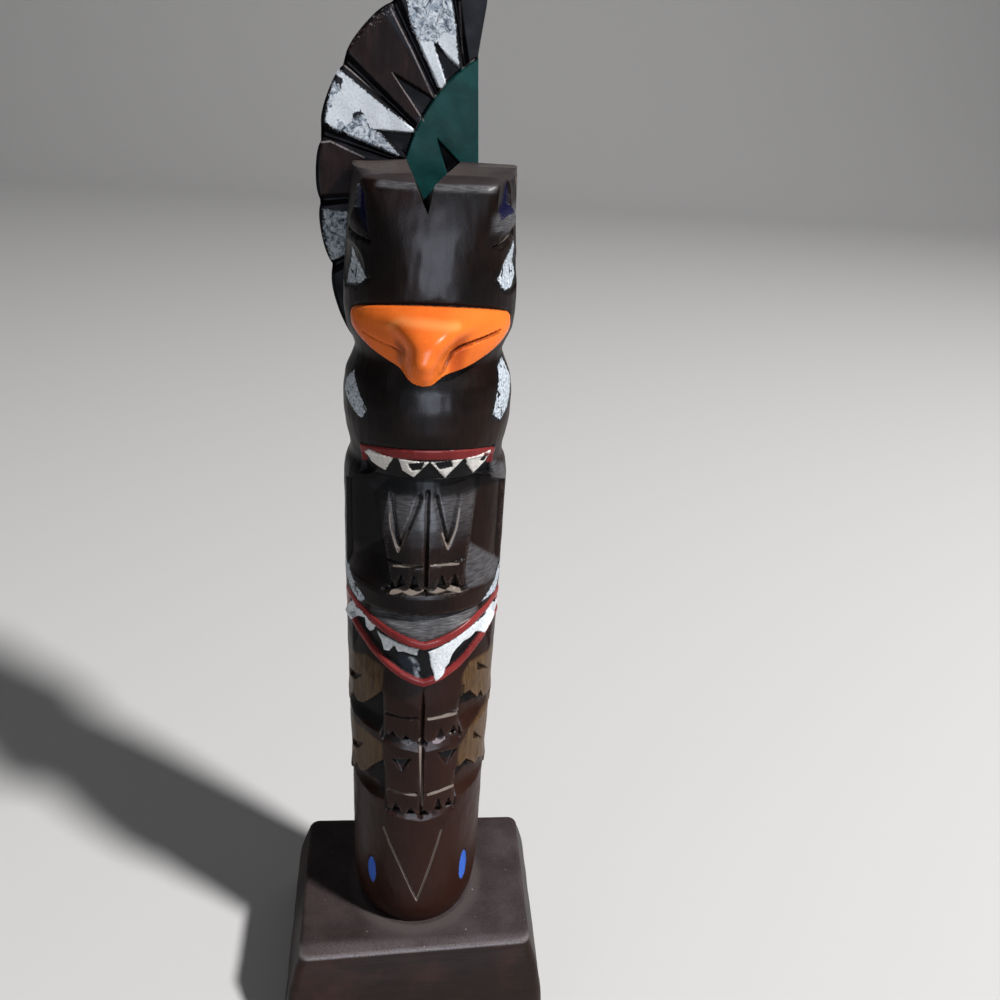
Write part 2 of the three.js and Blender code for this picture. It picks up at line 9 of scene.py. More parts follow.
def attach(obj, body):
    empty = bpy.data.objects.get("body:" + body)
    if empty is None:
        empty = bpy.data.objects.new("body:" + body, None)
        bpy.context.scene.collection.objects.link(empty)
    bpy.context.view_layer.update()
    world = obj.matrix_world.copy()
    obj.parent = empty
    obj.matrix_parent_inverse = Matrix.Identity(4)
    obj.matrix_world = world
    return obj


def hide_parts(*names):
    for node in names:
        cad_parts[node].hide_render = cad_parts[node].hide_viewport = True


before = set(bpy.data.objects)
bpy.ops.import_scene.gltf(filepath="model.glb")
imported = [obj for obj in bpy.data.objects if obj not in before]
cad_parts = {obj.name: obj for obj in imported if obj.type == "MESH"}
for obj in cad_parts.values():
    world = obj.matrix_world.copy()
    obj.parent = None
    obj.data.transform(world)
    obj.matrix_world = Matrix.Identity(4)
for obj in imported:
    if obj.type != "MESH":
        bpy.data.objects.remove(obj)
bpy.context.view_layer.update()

bl_info = {
    "name": "Carved totem pole",
    "version": (1, 0, 0),
    "blender": (4, 5, 0),
    "location": "3D View > Sidebar > Totem pole",
    "description": "Carves and paints a small wooden totem pole on its block",
    "category": "Add Mesh",
}

MM = 0.001
DRAWN_HEIGHT = 240.0
DRAWN_RADIUS = 22.0
SIDES = (-1, 1)

# In mm: the soft edge of a cut, and a distance farther than any that is asked for.
SOFT = 0.3
FAR = 9.0

# The pole's back is drawn with coarse steps, and its edges show wear and its creases painted shade this far
# in.
FRONT_HALF, BACK_STEP, EDGE_REACH = 108, 2.4, 0.8
POLE_FACES, BOARD_FACES = 188000, 150000
BOARD_COLUMNS, BOARD_RINGS = 960, 150


def size(name, note, default):
    return bpy.props.FloatProperty(name=name, description=note, default=default * MM, unit="LENGTH")


def colour(name, note, default):
    return bpy.props.FloatVectorProperty(
        name=name, description=note, default=default, subtype="COLOR", size=3, min=0, max=1
    )


class TotemSizes(bpy.types.PropertyGroup):
    block_height: size("Block height", "From the underside to the block's top", 38)
    block_front: size("Block front width", "Width of the block's top in front", 77.5)
    block_back: size("Block back width", "Width of the block's top behind", 80)
    block_depth: size("Block depth", "Depth of the block's top", 57)
    block_flare: size("Block flare", "How far the sides swell at the bottom", 6)
    block_corner: size("Block corner", "Radius of the upright corners", 3.4)
    block_edge: size("Block edge", "Radius of the top edge", 1.5)
    block_back_shift: size("Block offset", "How far the block's middle lies in front of the pole's", 0.9)
    block_skew: size("Block skew", "How far the front runs out of square", 1.2)
    seat_gap: size("Seat gap", "Gap between pieces that touch", 0.3)
    pole_height: size("Pole height", "From the block's top to the ears' tops", 240)
    pole_radius: size("Pole radius", "Radius of the stick before carving", 22)
    pole_grid: size("Carving grid", "Spacing of the grid that the carving is cut in", 0.25)
    head_flat: size("Head flat", "Depth cut off the back of the head", 2.6)
    board_thickness: size("Board thickness", "Thickness of the wing board", 6)
    board_rise: size("Board rise", "How far the board stands above the pole", 45)
    feather_step: size("Feather step", "How far the feathers lie below the shoulder", 0.8)
    feather_groove: size("Feather groove", "Depth of the cuts between feathers", 1.8)


class TotemColours(bpy.types.PropertyGroup):
    wood_dark: colour("Dark wood", "Stained wood in the hollows", (0.0035, 0.0022, 0.0021))
    wood_warm: colour("Warm wood", "Stained wood where it is worn", (0.026, 0.0085, 0.0050))
    wood_bare: colour("Bare wood", "Knife edges where the stain is gone", (0.235, 0.195, 0.17))
    fin_brown: colour("Fin brown", "Olive brown of the side fins", (0.105, 0.060, 0.026))
    beak_orange: colour("Beak orange", "Paint of the beak", (0.82, 0.185, 0.027))
    lip_red: colour("Lip red", "Paint of the lips", (0.15, 0.018, 0.018))
    tooth_cream: colour("Tooth cream", "Paint of the teeth", (0.70, 0.68, 0.65))
    eye_white: colour("Eye white", "Paint of the eyes", (0.60, 0.66, 0.72))
    ear_navy: colour("Ear navy", "Paint of the cuts beside the ears", (0.004, 0.004, 0.034))
    oval_blue: colour("Oval blue", "Paint of the ovals at the foot", (0.045, 0.13, 0.52))
    shoulder_green: colour("Shoulder green", "Paint of the wing's shoulder", (0.0035, 0.033, 0.032))
    feather_white: colour("Feather white", "Paint of the white feathers", (0.64, 0.70, 0.77))
    feather_silver: colour("Feather silver", "Worn paint between white and wood", (0.22, 0.27, 0.34))
    feather_brown: colour("Feather brown", "Wood of the plain feathers", (0.021, 0.0095, 0.0080))
    block_brown: colour("Block brown", "Stain of the block", (0.020, 0.0105, 0.0085))
    block_dust: colour("Block dust", "Dust on the block's top", (0.075, 0.060, 0.064))


# Sums on grids


def mix(a, b, t):
    """Between a and b, by the share t."""
    return a + (b - a) * t


def smooth(low, high, x):
    """0 at low, 1 at high, and smooth between; low may be the greater."""
    t = np.clip((np.asarray(x, float) - low) / (high - low), 0, 1)
    return t * t * (3 - 2 * t)


def soft_min(a, b, reach):
    """The less of two, with a soft corner."""
    h = np.clip(0.5 + 0.5 * (b - a) / reach, 0, 1)
    return mix(b, a, h) - reach * h * (1 - h)


def arc(angle):
    """Length round the drawn stick, in mm, of an angle in degrees."""
    return DRAWN_RADIUS * np.radians(angle)


def bearing(x, radius=DRAWN_RADIUS):
    """Angle in degrees of a point x mm from the middle, as seen from the front."""
    return math.degrees(math.asin(max(-1.0, min(1.0, x / radius))))


def seen(points, radius=DRAWN_RADIUS):
    """Turns [x, height] points seen from the front into [angle, height] points."""
    return [(bearing(x, radius), height) for x, height in points]


def unrolled(points):
    """Turns [angle, height] points into points in mm on the stick's flattened side."""
    return [(arc(angle), height) for angle, height in points]


def least(*fields):
    """The least of several fields: of distances inside things, the distance inside all of them."""
    return functools.reduce(np.minimum, fields)


def outline_distance(x, y, outline):
    """Distance in mm inside a closed outline, negative outside and -FAR a long way off."""
    points = np.asarray(outline, float)
    found = np.full(np.shape(x), -FAR)
    low, high = points.min(0) - 3, points.max(0) + 3
    near = (x > low[0]) & (x < high[0]) & (y > low[1]) & (y < high[1])
    px, py = x[near], y[near]
    gap = np.full(px.shape, FAR)
    inside = np.zeros(px.shape, bool)
    for (ax, ay), (bx, by) in zip(points, np.roll(points, -1, 0)):
        ex, ey = bx - ax, by - ay
        t = np.clip(((px - ax) * ex + (py - ay) * ey) / max(ex * ex + ey * ey, 1e-9), 0, 1)
        gap = np.minimum(gap, np.hypot(px - ax - t * ex, py - ay - t * ey))
        if ay != by:
            crossing = (ay > py) != (by > py)
            inside ^= crossing & (px < ax + ex * (py - ay) / ey)
    found[near] = np.where(inside, gap, -gap)
    return found


def path_distance(x, y, path):
    """Distance in mm from an open path, and the share of the path before its nearest point."""
    points = np.asarray(path, float)
    lengths = np.hypot(*np.diff(points, axis=0).T)
    starts = np.concatenate([[0], np.cumsum(lengths)]) / lengths.sum()
    found = np.full(np.shape(x), FAR)
    share = np.zeros(np.shape(x))
    for i, length in enumerate(lengths):
        (ax, ay), (bx, by) = points[i], points[i + 1]
        ex, ey = bx - ax, by - ay
        t = np.clip(((x - ax) * ex + (y - ay) * ey) / max(length * length, 1e-9), 0, 1)
        gap = np.hypot(x - ax - t * ex, y - ay - t * ey)
        closer = gap < found
        found = np.where(closer, gap, found)
        share = np.where(closer, mix(starts[i], starts[i + 1], t), share)
    return found, share


def mask_of(x, y, outlines):
    """Distance in mm inside the nearest of some outlines."""
    return np.max([outline_distance(x, y, outline) for outline in outlines], axis=0)


def waves(x, y, seed, count, shortest, longest):
    """Gentle seeded unevenness between -1 and 1, with wavelengths in mm."""
    draw = np.random.default_rng(seed)
    total = np.zeros(np.shape(x))
    for _ in range(count):
        turn = draw.uniform(0, 2 * math.pi)
        step = 2 * math.pi / draw.uniform(shortest, longest)
        phase = draw.uniform(0, 2 * math.pi)
        total += np.sin(step * (x * math.cos(turn) + y * math.sin(turn)) + phase)
    return total / math.sqrt(count) / 1.6


def blurred(field, cells):
    """A field averaged over a few cells each way; the columns run round and close."""
    for axis, mode in ((0, "edge"), (1, "wrap")):
        for _ in range(2):
            pad = [(0, 0), (0, 0)]
            pad[axis] = (cells, cells)
            total = np.cumsum(np.pad(field, pad, mode=mode), axis=axis)
            total = np.concatenate([np.zeros_like(np.take(total, [0], axis)), total], axis)
            width = 2 * cells + 1
            count = field.shape[axis]
            high = np.take(total, np.arange(width, width + count), axis)
            low = np.take(total, np.arange(count), axis)
            field = (high - low) / width
    return field


# The pole's carving. Angles are degrees round the axis from the front, positive to the right,
# and heights are mm above the pole's foot.

PROFILE = (
    (0, 18.6), (3.5, 19.9), (9, 20.9), (18, 21.3), (56, 21.3), (76, 21.9), (110, 22.3),
    (135, 22.5), (163, 22.4), (167, 21.9), (169.5, 20.6), (173, 20.8), (176, 21.5),
    (181, 22.2), (187, 22.2), (192, 21.4), (196, 19.6), (198, 18.9), (200.5, 19.6),
    (204, 21.2), (209, 21.8), (216, 21.6), (224, 21), (240, 20.9),
)
HEAD = {
    "left_width": 20, "right_width": 21.9, "temple_width": 17.9, "left_slope": 0.12,
    "right_slope": 0.22, "temple_foot": 222, "face_foot": 213, "face_radius": 16.2,
    "face_angle": 54, "flat_foot": 184,
}
# The notch between the ears, as [x, height] points at two distances behind the axis.
NOTCH = {
    -40: ((-5.4, 244), (-1.6, 234), (0.6, 244)), 20: ((-8, 244), (-1.6, 231.2), (10.6, 244)),
}
BEAK = {
    "half_angle": 62, "tip_angle": -6, "bridge_angle": -2, "top": 213, "top_side": 209.6, "foot": 196.2,
    "foot_side": 206, "cheek": 22, "cere": 2.6, "nose": 8.8, "nose_angle": 9, "bridge_spread": 17,
    "corner": 1.6,
}
NOSE_LINE = ((0, 0.8), (0.1, 0.97), (0.35, 1), (0.6, 0.7), (0.85, 0.25), (1, 0))
MOUTH = {"half_angle": 54, "top": 177, "top_side": 174.4, "lip": 174.3, "lip_side": 172.4, "jaw": 168.4}
HOLLOW = {"half_angle": 74, "top": 168.2, "foot": 134.8, "floor": 16.4, "side_floor": 21.2}
# Height, left and right edge, and radius of the two long paws.
PAW_LEVELS = np.array((
    (136.8, -9.2, 10.6, 21.9), (149, -11.4, 12, 21.6), (154, -12.4, 12.6, 20.8),
    (160, -14, 13.4, 18.8), (166, -15.8, 14.2, 16.9), (171, -16.4, 14.6, 16.4),
))
SNOUT = {
    "half_angle": 76, "reach": 25, "side": 22.5, "ridge": 50, "top": 121, "top_side": 128,
    "foot": 105.8, "foot_side": 118.5, "lip": 2.4, "brow_foot": 128.2,
}
TIERS = (
    {
        "left": ((33, 99.3), (41.6, 95.3), (50, 91.8), (58.7, 90.3), (66, 91.6), (75.8, 87.7),
                 (84, 88.6), (93, 81), (104, 92)),
        "right": ((31.5, 97.5), (38.8, 98.4), (49, 93.3), (53, 95.2), (57, 91.7), (66, 90.2),
                  (73, 89.6), (80, 90.4), (90, 80.2), (104, 92)),
        "notch": (((-77, 96.6), (-52.8, 101.5)), ((47.1, 105.6), (63, 101))),
        "upper": ((-76, 106), (-49, 109.5), (-32, 108), (31, 104.7), (40, 108.5), (72, 107.4)),
        "gap": ((-80, 84.5), (-69, 82.7), (-47, 84.8), (-33, 84), (32, 92), (45, 90.8), (57, 90), (80, 91)),
        "shelf": 82.2, "height": 20, "radius": 22.4, "centre": 0.2, "half_width": 11.9,
        "top": 104, "knuckle": 92.2, "claws": 84.4, "droop": 2,
        "claw_cuts": ((-8.5, 85.6), (-4.4, 85.5), (0.4, 84.5), (5.7, 87.3), (9.6, 87.1)),
        "chips": (),
    },
    {
        "left": ((31, 73.4), (42.6, 68.5), (50, 64.5), (58.2, 62.5), (63, 64.2), (69.7, 60.6),
                 (78, 61.6), (88, 54), (102, 64)),
        "right": ((33.6, 69.6), (40.6, 71), (47, 68.5), (53.8, 65.1), (58, 66.6), (62.7, 65.2),
                  (72, 62.4), (80, 63), (88, 55), (102, 64)),
        "notch": (((-76.9, 68.6), (-53, 75.2)), ((48.1, 78.9), (63.9, 72.9))),
        "upper": ((-75, 79.6), (-50, 81.6), (-32, 80.2), (35, 79), (42.5, 83.4), (61, 85.4)),
        "gap": ((-66, 62.5), (-52, 60), (-42, 61), (-33, 57), (33, 62.5), (48, 65), (62, 66)),
        "shelf": 54, "height": 19, "radius": 22, "centre": 0.5, "half_width": 11.3,
        "top": 81, "knuckle": 61.9, "claws": 54, "droop": 1.6,
        "claw_cuts": ((-7.4, 56.8), (-2.7, 55.7), (1.7, 54.3), (6.1, 58.5), (9.4, 57.5)),
        "chips": (((-8.6, 75), (-3, 76.1), (-5.7, 70.6)), ((5.5, 78), (11, 77.2), (8.1, 72))),
    },
)
EAR_WEDGES = (
    ((-57, 239.6), (-60, 232.8), (-47, 227.6), (-48.3, 232.1), (-50.9, 235.4)),
    ((74, 239.4), (44, 231.6), (53, 232.6), (79, 233.4), (79.5, 239)),
)
EAR_FACET = {
    "outline": ((41, 242), (37, 231), (53, 232.8), (79, 233.4), (81, 242)),
    "normal": (0.973, 0.232, -0.049), "distance": 5.9,
}
OVALS = ((-44.8, 21.8, 6.4), (46.9, 21.8, 7.4))
SHAFT_MARK = ((-11.1, 44.4), (-5.3, 28.6), (0, 13.4), (3.9, 28.6), (7.4, 44.2))
EYES = (
    ((-76, 217), (-69.5, 223.6), (-60, 221), (-46, 218), (-52, 216.2), (-61, 215.4), (-74, 214.6)),
    ((44.7, 218.6), (53, 221.4), (61, 225), (78, 226.5), (84, 217.5), (68, 215.6), (56, 215.4), (50, 216.6)),
    ((-76, 189.6), (-65, 193.4), (-52, 188.6), (-44, 185.4), (-50, 182.6), (-64, 184.6), (-74, 187)),
    ((60, 195.8), (74, 197), (80, 191), (66, 184.4), (55, 182.4), (46.5, 184.6), (50, 189)),
    ((-84, 136), (-72, 135.5), (-60, 133.4), (-45.5, 129.7), (-52, 127.2), (-66, 129.6), (-80, 131)),
    ((45.2, 129), (55, 131.4), (68, 134.4), (80, 136), (80, 131.6), (64, 128.6)),
)
UPPER_TEETH = (
    seen(((-16.9, 173.2), (-15.6, 174.6), (-9.3, 173.9), (-12, 169.5), (-15.6, 170.7))),
    seen(((-8, 174), (0.1, 173.6), (-4.1, 168.8), (-7.2, 170.6))),
    seen(((0.4, 173.6), (9.4, 174), (4.7, 168.7))),
    seen(((9.9, 174), (16.8, 174.4), (16.2, 171.4), (13, 168.7), (10.6, 172))),
)
TOOTH_CHIPS = (
    seen(((-5.6, 172.9), (-1.2, 173.6), (-2, 171.4), (-4.6, 170.8))),
    seen(((1.4, 173.4), (6, 174), (6.6, 172), (3, 171.4))),
    seen(((14.2, 172), (15, 174.2), (16.6, 173.4), (15.6, 171.6))),
)
LOWER_TEETH = (
    ((-80, 118), (-65.4, 125), (-50.1, 125.4), (-37.1, 122.9), (-40, 119.9), (-44.6, 118.6),
     (-48.7, 119.4), (-50.1, 122.1), (-58.9, 121), (-64, 119)),
    ((-37.1, 120.4), (-22.9, 119.8), (-3.7, 118.4), (-4.5, 116.2), (-13.2, 116.9),
     (-17.9, 116.3), (-20.9, 118.1), (-25, 115.6), (-29.5, 115), (-31.9, 118)),
    ((3, 117.4), (12.6, 119), (34.3, 121.4), (53.4, 121.6), (64, 124), (74, 124.4), (66, 120.6),
     (50.4, 117.2), (43, 118.4), (37.4, 117.6), (30, 117.8), (23.7, 116.3), (20, 114.6),
     (17.9, 112.1), (12, 109.4), (7.9, 108), (5, 112.6)),
)
# Two faces that get a painted highlight: the scoop right of the paws and the top of the right arm.
SCOOP = ((30, 135), (33, 148.5), (40, 147.5), (58, 142.5), (76, 137), (76, 133), (50, 134))
ARM_TOP = ((54, 171), (72, 168.4), (80, 162), (64, 163.4), (50, 166.4))
DARK_CHIPS = (
    seen(((-8.8, 75.2), (-3, 76.3), (-4.3, 73.6), (-6.2, 72.8), (-7.6, 73.4))),
    seen(((5.4, 78.1), (11.2, 77.3), (9.8, 75.2), (8.2, 74.2), (6.8, 75.4))),
)
CHAMFERS = (
    ((-19, 82.4), (-13.5, 82), (-4.6, 82.6), (-6, 81.4), (-11.3, 80.7), (-16.4, 81.4)),
    ((6.9, 81.2), (7.8, 82.8), (14.3, 83.2), (22, 83.3), (20.6, 81.9), (14.6, 80.9)),
)
# Paths where the pale wood shows, with half their widths; the last two, beside the paws' V cuts, are a
# painted highlight on the lit walls of those cuts.
PALE_STROKES = (
    (seen(SHAFT_MARK, 21.3), 0.42),
    (((-24, 134.6), (-16.5, 135.7), (-9.4, 135.2), (-1, 136.2), (7.5, 135.7), (16.2, 136),
      (25, 135.1)), 0.5),
    (((5.4, 91.7), (14.1, 91.9), (27.5, 91.7)), 0.5), (((-26.5, 61.7), (-15.9, 61.5), (-3, 61.1)), 0.42),
    (((7, 61), (19.2, 61.7), (31.2, 62)), 0.42), (((-1, 84), (0.5, 72.1), (2.2, 56)), 0.42),
    (((-23.3, 142.8), (-12.7, 143.3), (-2.6, 143.9)), 0.3), (((3.5, 143.9), (13.6, 143.8), (24, 143.4)), 0.3),
    (((47, 226.6), (55.2, 228), (72.5, 228.8)), 0.2),
    (seen(((-9.8, 157), (-8.9, 153.4), (-6.9, 147.3), (-4.8, 153.4)), 20), 0.3),
    (seen(((3.9, 153), (5.3, 148.5), (7.2, 153), (9, 158.6)), 20), 0.3),
)
GLINTS = (
    ((-20.8, 115.6), (-13, 116.6), (-4.3, 115.2), (-1.4, 112), (-2.2, 108.2), (-11.2, 110),
     (-18.9, 112.4)),
)
SHEEN = ((-8, 114.8), (-4.6, 113.6), (-3.4, 109))
# Path of a painted highlight along the beak's top ridge.
BRIDGE_HIGHLIGHT = ((-23, 208.8), (-17, 210.4), (-4, 210.6), (12, 210))


def share_of(angle, limit):
    return np.minimum(np.abs(angle) / limit, 1)


def beak_top(angle):
    return mix(BEAK["top"], BEAK["top_side"], share_of(angle, BEAK["half_angle"]) ** 2)


def beak_foot(angle):
    return mix(BEAK["foot"], BEAK["foot_side"], share_of(angle, BEAK["half_angle"]) ** 1.32)


def beak_inside(angle, height):
    """Distance in mm inside the beak's edge, with its ends rounded."""
    end = arc(BEAK["half_angle"]) - np.abs(arc(angle))
    rise = np.minimum(beak_top(angle) - height, height - beak_foot(angle))
    corner = BEAK["corner"]
    rounded = corner - np.hypot(np.maximum(corner - end, 0), np.maximum(corner - rise, 0))
    return np.where((end < corner) & (rise < corner), rounded, np.minimum(end, rise))


def beak_radius(angle, height):
    """The radius of the beak: cheeks, a bridge and a pointed nose."""
    top, foot = beak_top(angle), beak_foot(angle)
    t = np.clip((height - foot) / (top - foot), 0, 1)
    share = share_of(angle, BEAK["half_angle"])
    cheek = 1.6 * np.sin(math.pi * mix(0.1, 0.93, t)) * (1 - share ** 8)
    cere = BEAK["cere"] * np.exp(-((angle / 27) ** 2)) * np.sin(math.pi * t ** 2.4)
    lean = mix(BEAK["tip_angle"], BEAK["bridge_angle"], smooth(0, 0.8, t))
    from_tip = np.abs(angle - lean) / mix(BEAK["nose_angle"], BEAK["bridge_spread"], smooth(0.35, 0.9, t))
    line = np.array(NOSE_LINE)
    fine = np.linspace(0, 1, 101)
    bridge = np.interp(fine, line[:, 0], line[:, 1])
    bridge = np.convolve(np.pad(bridge, 6, mode="edge"), np.ones(13) / 13, "valid")
    nose = BEAK["nose"] * np.interp(t, fine, bridge) * np.exp(-(from_tip ** 2.4))
    flank = np.exp(-(((from_tip - 1.9) / 0.6) ** 2)) * np.exp(-(((t - 0.3) / 0.28) ** 2))
    flank = flank * np.where(angle < lean, 0.3, 1)
    return BEAK["cheek"] + cheek + cere + nose - 0.9 * flank


def mouth_line(angle, middle, side):
    return mix(MOUTH[middle], MOUTH[side], (angle / MOUTH["half_angle"]) ** 2)


def snout_top(angle):
    return mix(SNOUT["top"], SNOUT["top_side"], share_of(angle, 64))


def snout_foot(angle):
    return mix(SNOUT["foot"], SNOUT["foot_side"], share_of(angle, 64) ** 1.15)


def snout_radius(angle):
    return mix(SNOUT["reach"], SNOUT["side"], smooth(0, SNOUT["ridge"], np.abs(angle)))


def paw_levels(height):
    return [np.interp(height, PAW_LEVELS[:, 0], PAW_LEVELS[:, i]) for i in (1, 2, 3)]


def paw_inside(angle, height):
    """Distance in mm inside the wedge of the upper paws."""
    left, right, radius = paw_levels(height)
    x = radius * np.sin(np.radians(angle))
    return np.where(np.abs(angle) < 80, np.minimum(x - left, right - x), -FAR)


def claw_edge(tier, angle):
    middle, half = bearing(tier["centre"]), bearing(tier["half_width"])
    return tier["claws"] - tier["droop"] * (1 - np.abs(angle - middle) / half)


def level_at(angle, points):
    """The height of a line through [angle, height] points."""
    return np.interp(angle, *np.transpose(points))


def fin_edge(tier, angle):
    return np.where(angle < 0, level_at(-angle, tier["left"]), level_at(angle, tier["right"]))


def fin_inside(tier, angle, height):
    """Distance in mm inside a tier's fins."""
    edge = fin_edge(tier, angle)
    ends = np.minimum(arc(np.abs(angle) - 32), arc(103 - np.abs(angle)))
    return least((height - edge) * 0.8, level_at(angle, tier["upper"]) - height, ends)


def gap_inside(tier, angle, height):
    """Distance in mm inside the gaps under a tier's fins, which get painted shadow."""
    low = level_at(angle, tier["gap"])
    ends = np.minimum(arc(np.abs(angle) - 31.5), arc(84 - np.abs(angle)))
    return least(fin_edge(tier, angle) - height, height - low, ends)


class Carving:
    """The pole's radius in mm over a grid of heights and angles."""

    def __init__(self, angles, heights):
        self.angles, self.heights = angles, heights
        self.angle, self.height = np.meshgrid(angles, heights)
        self.u = arc(self.angle)
        fine = np.arange(-3, DRAWN_HEIGHT + 3, 0.25)
        profile = np.array(PROFILE)
        line = np.interp(fine, profile[:, 0], profile[:, 1])
        line = np.convolve(np.pad(line, 4, mode="edge"), np.ones(9) / 9, "valid")
        self.radius = np.interp(self.height, fine, line)

    def window(self, points, margin=4):
        """The part of the grid round some [angle, height] points."""
        (a0, h0), (a1, h1) = np.min(points, 0), np.max(points, 0)
        turn = math.degrees(margin / DRAWN_RADIUS)
        rows = slice(*np.searchsorted(self.heights, (h0 - margin, h1 + margin)))
        columns = slice(*np.searchsorted(self.angles, (a0 - turn, a1 + turn)))
        return rows, columns

    def near_path(self, path, margin=4):
        """The part of the grid near a path, with path_distance's two answers there."""
        part = self.window(path, margin)
        return part, *path_distance(self.u[part], self.height[part], unrolled(path))

    def near_outline(self, outline):
        """The part of the grid near an outline, and the distance inside it there."""
        part = self.window(outline)
        return part, outline_distance(self.u[part], self.height[part], unrolled(outline))

    def bound(self, limit, target, inside, soft, part):
        radius = self.radius[part]
        self.radius[part] = mix(radius, limit(radius, target), smooth(-soft, soft, inside))

    def cut(self, target, inside, soft=SOFT, part=np.s_[:, :]):
        """Takes away what stands out past a target radius, where inside is above 0."""
        self.bound(np.minimum, target, inside, soft, part)

    def add(self, target, inside, soft=SOFT, part=np.s_[:, :]):
        """Fills up to a target radius, where inside is above 0."""
        self.bound(np.maximum, target, inside, soft, part)

    def knife(self, path, widths, depth):
        """A V-shaped cut along [angle, height] points, as wide as given at its two ends."""
        part, gap, share = self.near_path(path)
        half = mix(widths[0], widths[1], share) / 2
        self.radius[part] -= depth * np.clip(1 - gap / half, 0, 1)

    def chip(self, outline, depth, slope=0.0):
        """A flat-floored cut inside [angle, height] points, shallower towards its low end."""
        part, inside = self.near_outline(outline)
        low, high = min(h for _, h in outline), max(h for _, h in outline)
        floor = mix(1, (self.height[part] - low) / (high - low), slope)
        self.radius[part] -= depth * np.clip(floor, 0, 1) * smooth(-0.2, 0.25, inside)

    def facet(self, outline, normal, distance):
        """A flat cut inside [angle, height] points, by its normal and its distance from the foot."""
        part, inside = self.near_outline(outline)
        turn = np.radians(self.angle[part])
        reach = normal[0] * np.sin(turn) + normal[1] * np.cos(turn)
        target = (distance - normal[2] * self.height[part]) / np.maximum(reach, 0.1)
        self.cut(target, inside, 0.35, part)

    def ridge(self, path, half_width, crest):
        """A rounded ridge along [angle, height] points that stands out to a given radius."""
        part, gap, share = self.near_path(path, 2 * half_width)
        across = np.clip(gap / half_width, 0, 1)
        crest = np.interp(share, (0, 0.3, 0.7, 1), (crest - 1.6, crest, crest - 0.3, crest - 1.6))
        self.add(crest - 2.4 * (1 - np.sqrt(1 - across ** 2)), half_width - gap, part=part)

    def swell(self, path, half_width, rise):
        """A rounded rise along [angle, height] points."""
        part, gap, share = self.near_path(path, 3 * half_width)
        taper = smooth(0, 0.25, share + 0.1) * smooth(0, 0.2, 1.1 - share)
        self.radius[part] += rise * np.exp(-((gap / half_width) ** 2)) * taper

    def dish(self, centre, half_size, depth, fullness, part):
        """An oval hollow round a point in mm on the flattened side."""
        oval = ((self.u[part] - centre[0]) / half_size[0]) ** 2
        oval = oval + ((self.height[part] - centre[1]) / half_size[1]) ** 2
        self.radius[part] -= depth * np.clip(1 - oval, 0, 1) ** fullness


def carve_head(stick):
    angle, height = stick.angle, stick.height
    sine, cosine = np.sin(np.radians(angle)), np.cos(np.radians(angle))
    flat = DRAWN_RADIUS - 2.6
    shrink = np.interp(height, (200, 207, 212), (0.86, 0.985, 1))
    right = mix(HEAD["left_width"], HEAD["right_width"], smooth(224, 238, height))
    wide = np.where(sine > 0, right, HEAD["left_width"]) / np.maximum(np.abs(sine), 1e-3)
    deep = flat / np.maximum(-cosine, 1e-3)
    square = np.minimum(soft_min(wide, deep, 1.6), 30) * shrink
    stick.add(square, np.minimum(arc(np.abs(angle) - 88), height - 200), 0.6)
    stick.cut(deep, np.minimum(arc(np.abs(angle) - 90), height - HEAD["flat_foot"]), 0.5)
    clear = np.interp(height, (HEAD["temple_foot"], 244), (3.4, 0))
    for side, slope in zip(SIDES, (HEAD["left_slope"], HEAD["right_slope"])):
        reach = (HEAD["temple_width"] + clear) / np.maximum(side * sine + slope * cosine, 1e-3)
        stick.cut(reach, np.minimum(side * angle * 0.4, height - HEAD["temple_foot"] + 2), 1)
    slope = np.clip((height - HEAD["face_foot"]) / (DRAWN_HEIGHT - HEAD["face_foot"]), 0, 1) ** 1.7
    roundness = np.cos(np.radians(np.clip(angle, -90, 90) * 0.8))
    face = mix(DRAWN_RADIUS, HEAD["face_radius"], slope) / roundness
    near = (np.abs(angle) < HEAD["face_angle"] + 4) & (height > HEAD["face_foot"] - 3)
    stick.radius = np.where(near, soft_min(stick.radius, face, 1.2), stick.radius)
    lip = np.clip((height - 236.8) / 3.2, 0, 1)
    stick.radius -= 2.4 * (1 - np.sqrt(1 - lip ** 2)) * smooth(110, 80, np.abs(angle))
    stick.chip(EAR_WEDGES[0], 1.4)
    stick.facet(**EAR_FACET)
    stick.knife(((-54, 240.6), (-51, 235.5), (-46.6, 227.4)), (1.6, 0.8), 0.6)
    stick.ridge(((38, 228.6), (43, 229.3), (50, 230.2), (62, 231), (84, 231.2)), 2.5, 21.2)
    stick.knife(((41, 226), (48, 226.2), (58.5, 227.4), (80, 228)), (1.0, 2.2), 0.9)
    stick.swell(((-82, 229.8), (-66, 230.4), (-52, 228.8)), 2.0, 0.4)
    stick.knife(((-44, 226), (-56, 226.4), (-74, 227.4)), (0.8, 1.8), 0.8)
    for side in SIDES:
        part = stick.window(((side * 50, 213), (side * 84, 227)))
        stick.dish((side * arc(70), 219.4), (8.4, 5.4), 1.1, 0.7, part)
    stick.knife(((44, 218.2), (52, 215.6), (66, 214.6), (80, 214.8)), (0.8, 1.6), 0.5)
    stick.knife(((-44, 217.8), (-56, 215), (-76, 213.8)), (0.8, 1.6), 0.5)


def carve_beak(stick):
    inside = beak_inside(stick.angle, stick.height)
    stick.radius -= 0.45 * np.clip(1 - (inside / 1.1) ** 2, 0, 1)
    stick.add(beak_radius(stick.angle, stick.height), inside + 0.15, 0.35)
    right = seen(((16.3, 206.9), (12.6, 206), (10, 205.4), (6.6, 204.2), (4.6, 202.8), (3.2, 199.9)), 23.5)
    left = seen(((-16.4, 205.6), (-13, 204.5), (-9.4, 203.6), (-6.8, 202.6)), 23.5)
    stick.knife(right, (0.9, 1.9), 1.2)
    stick.knife(left, (0.6, 0.8), 0.25)


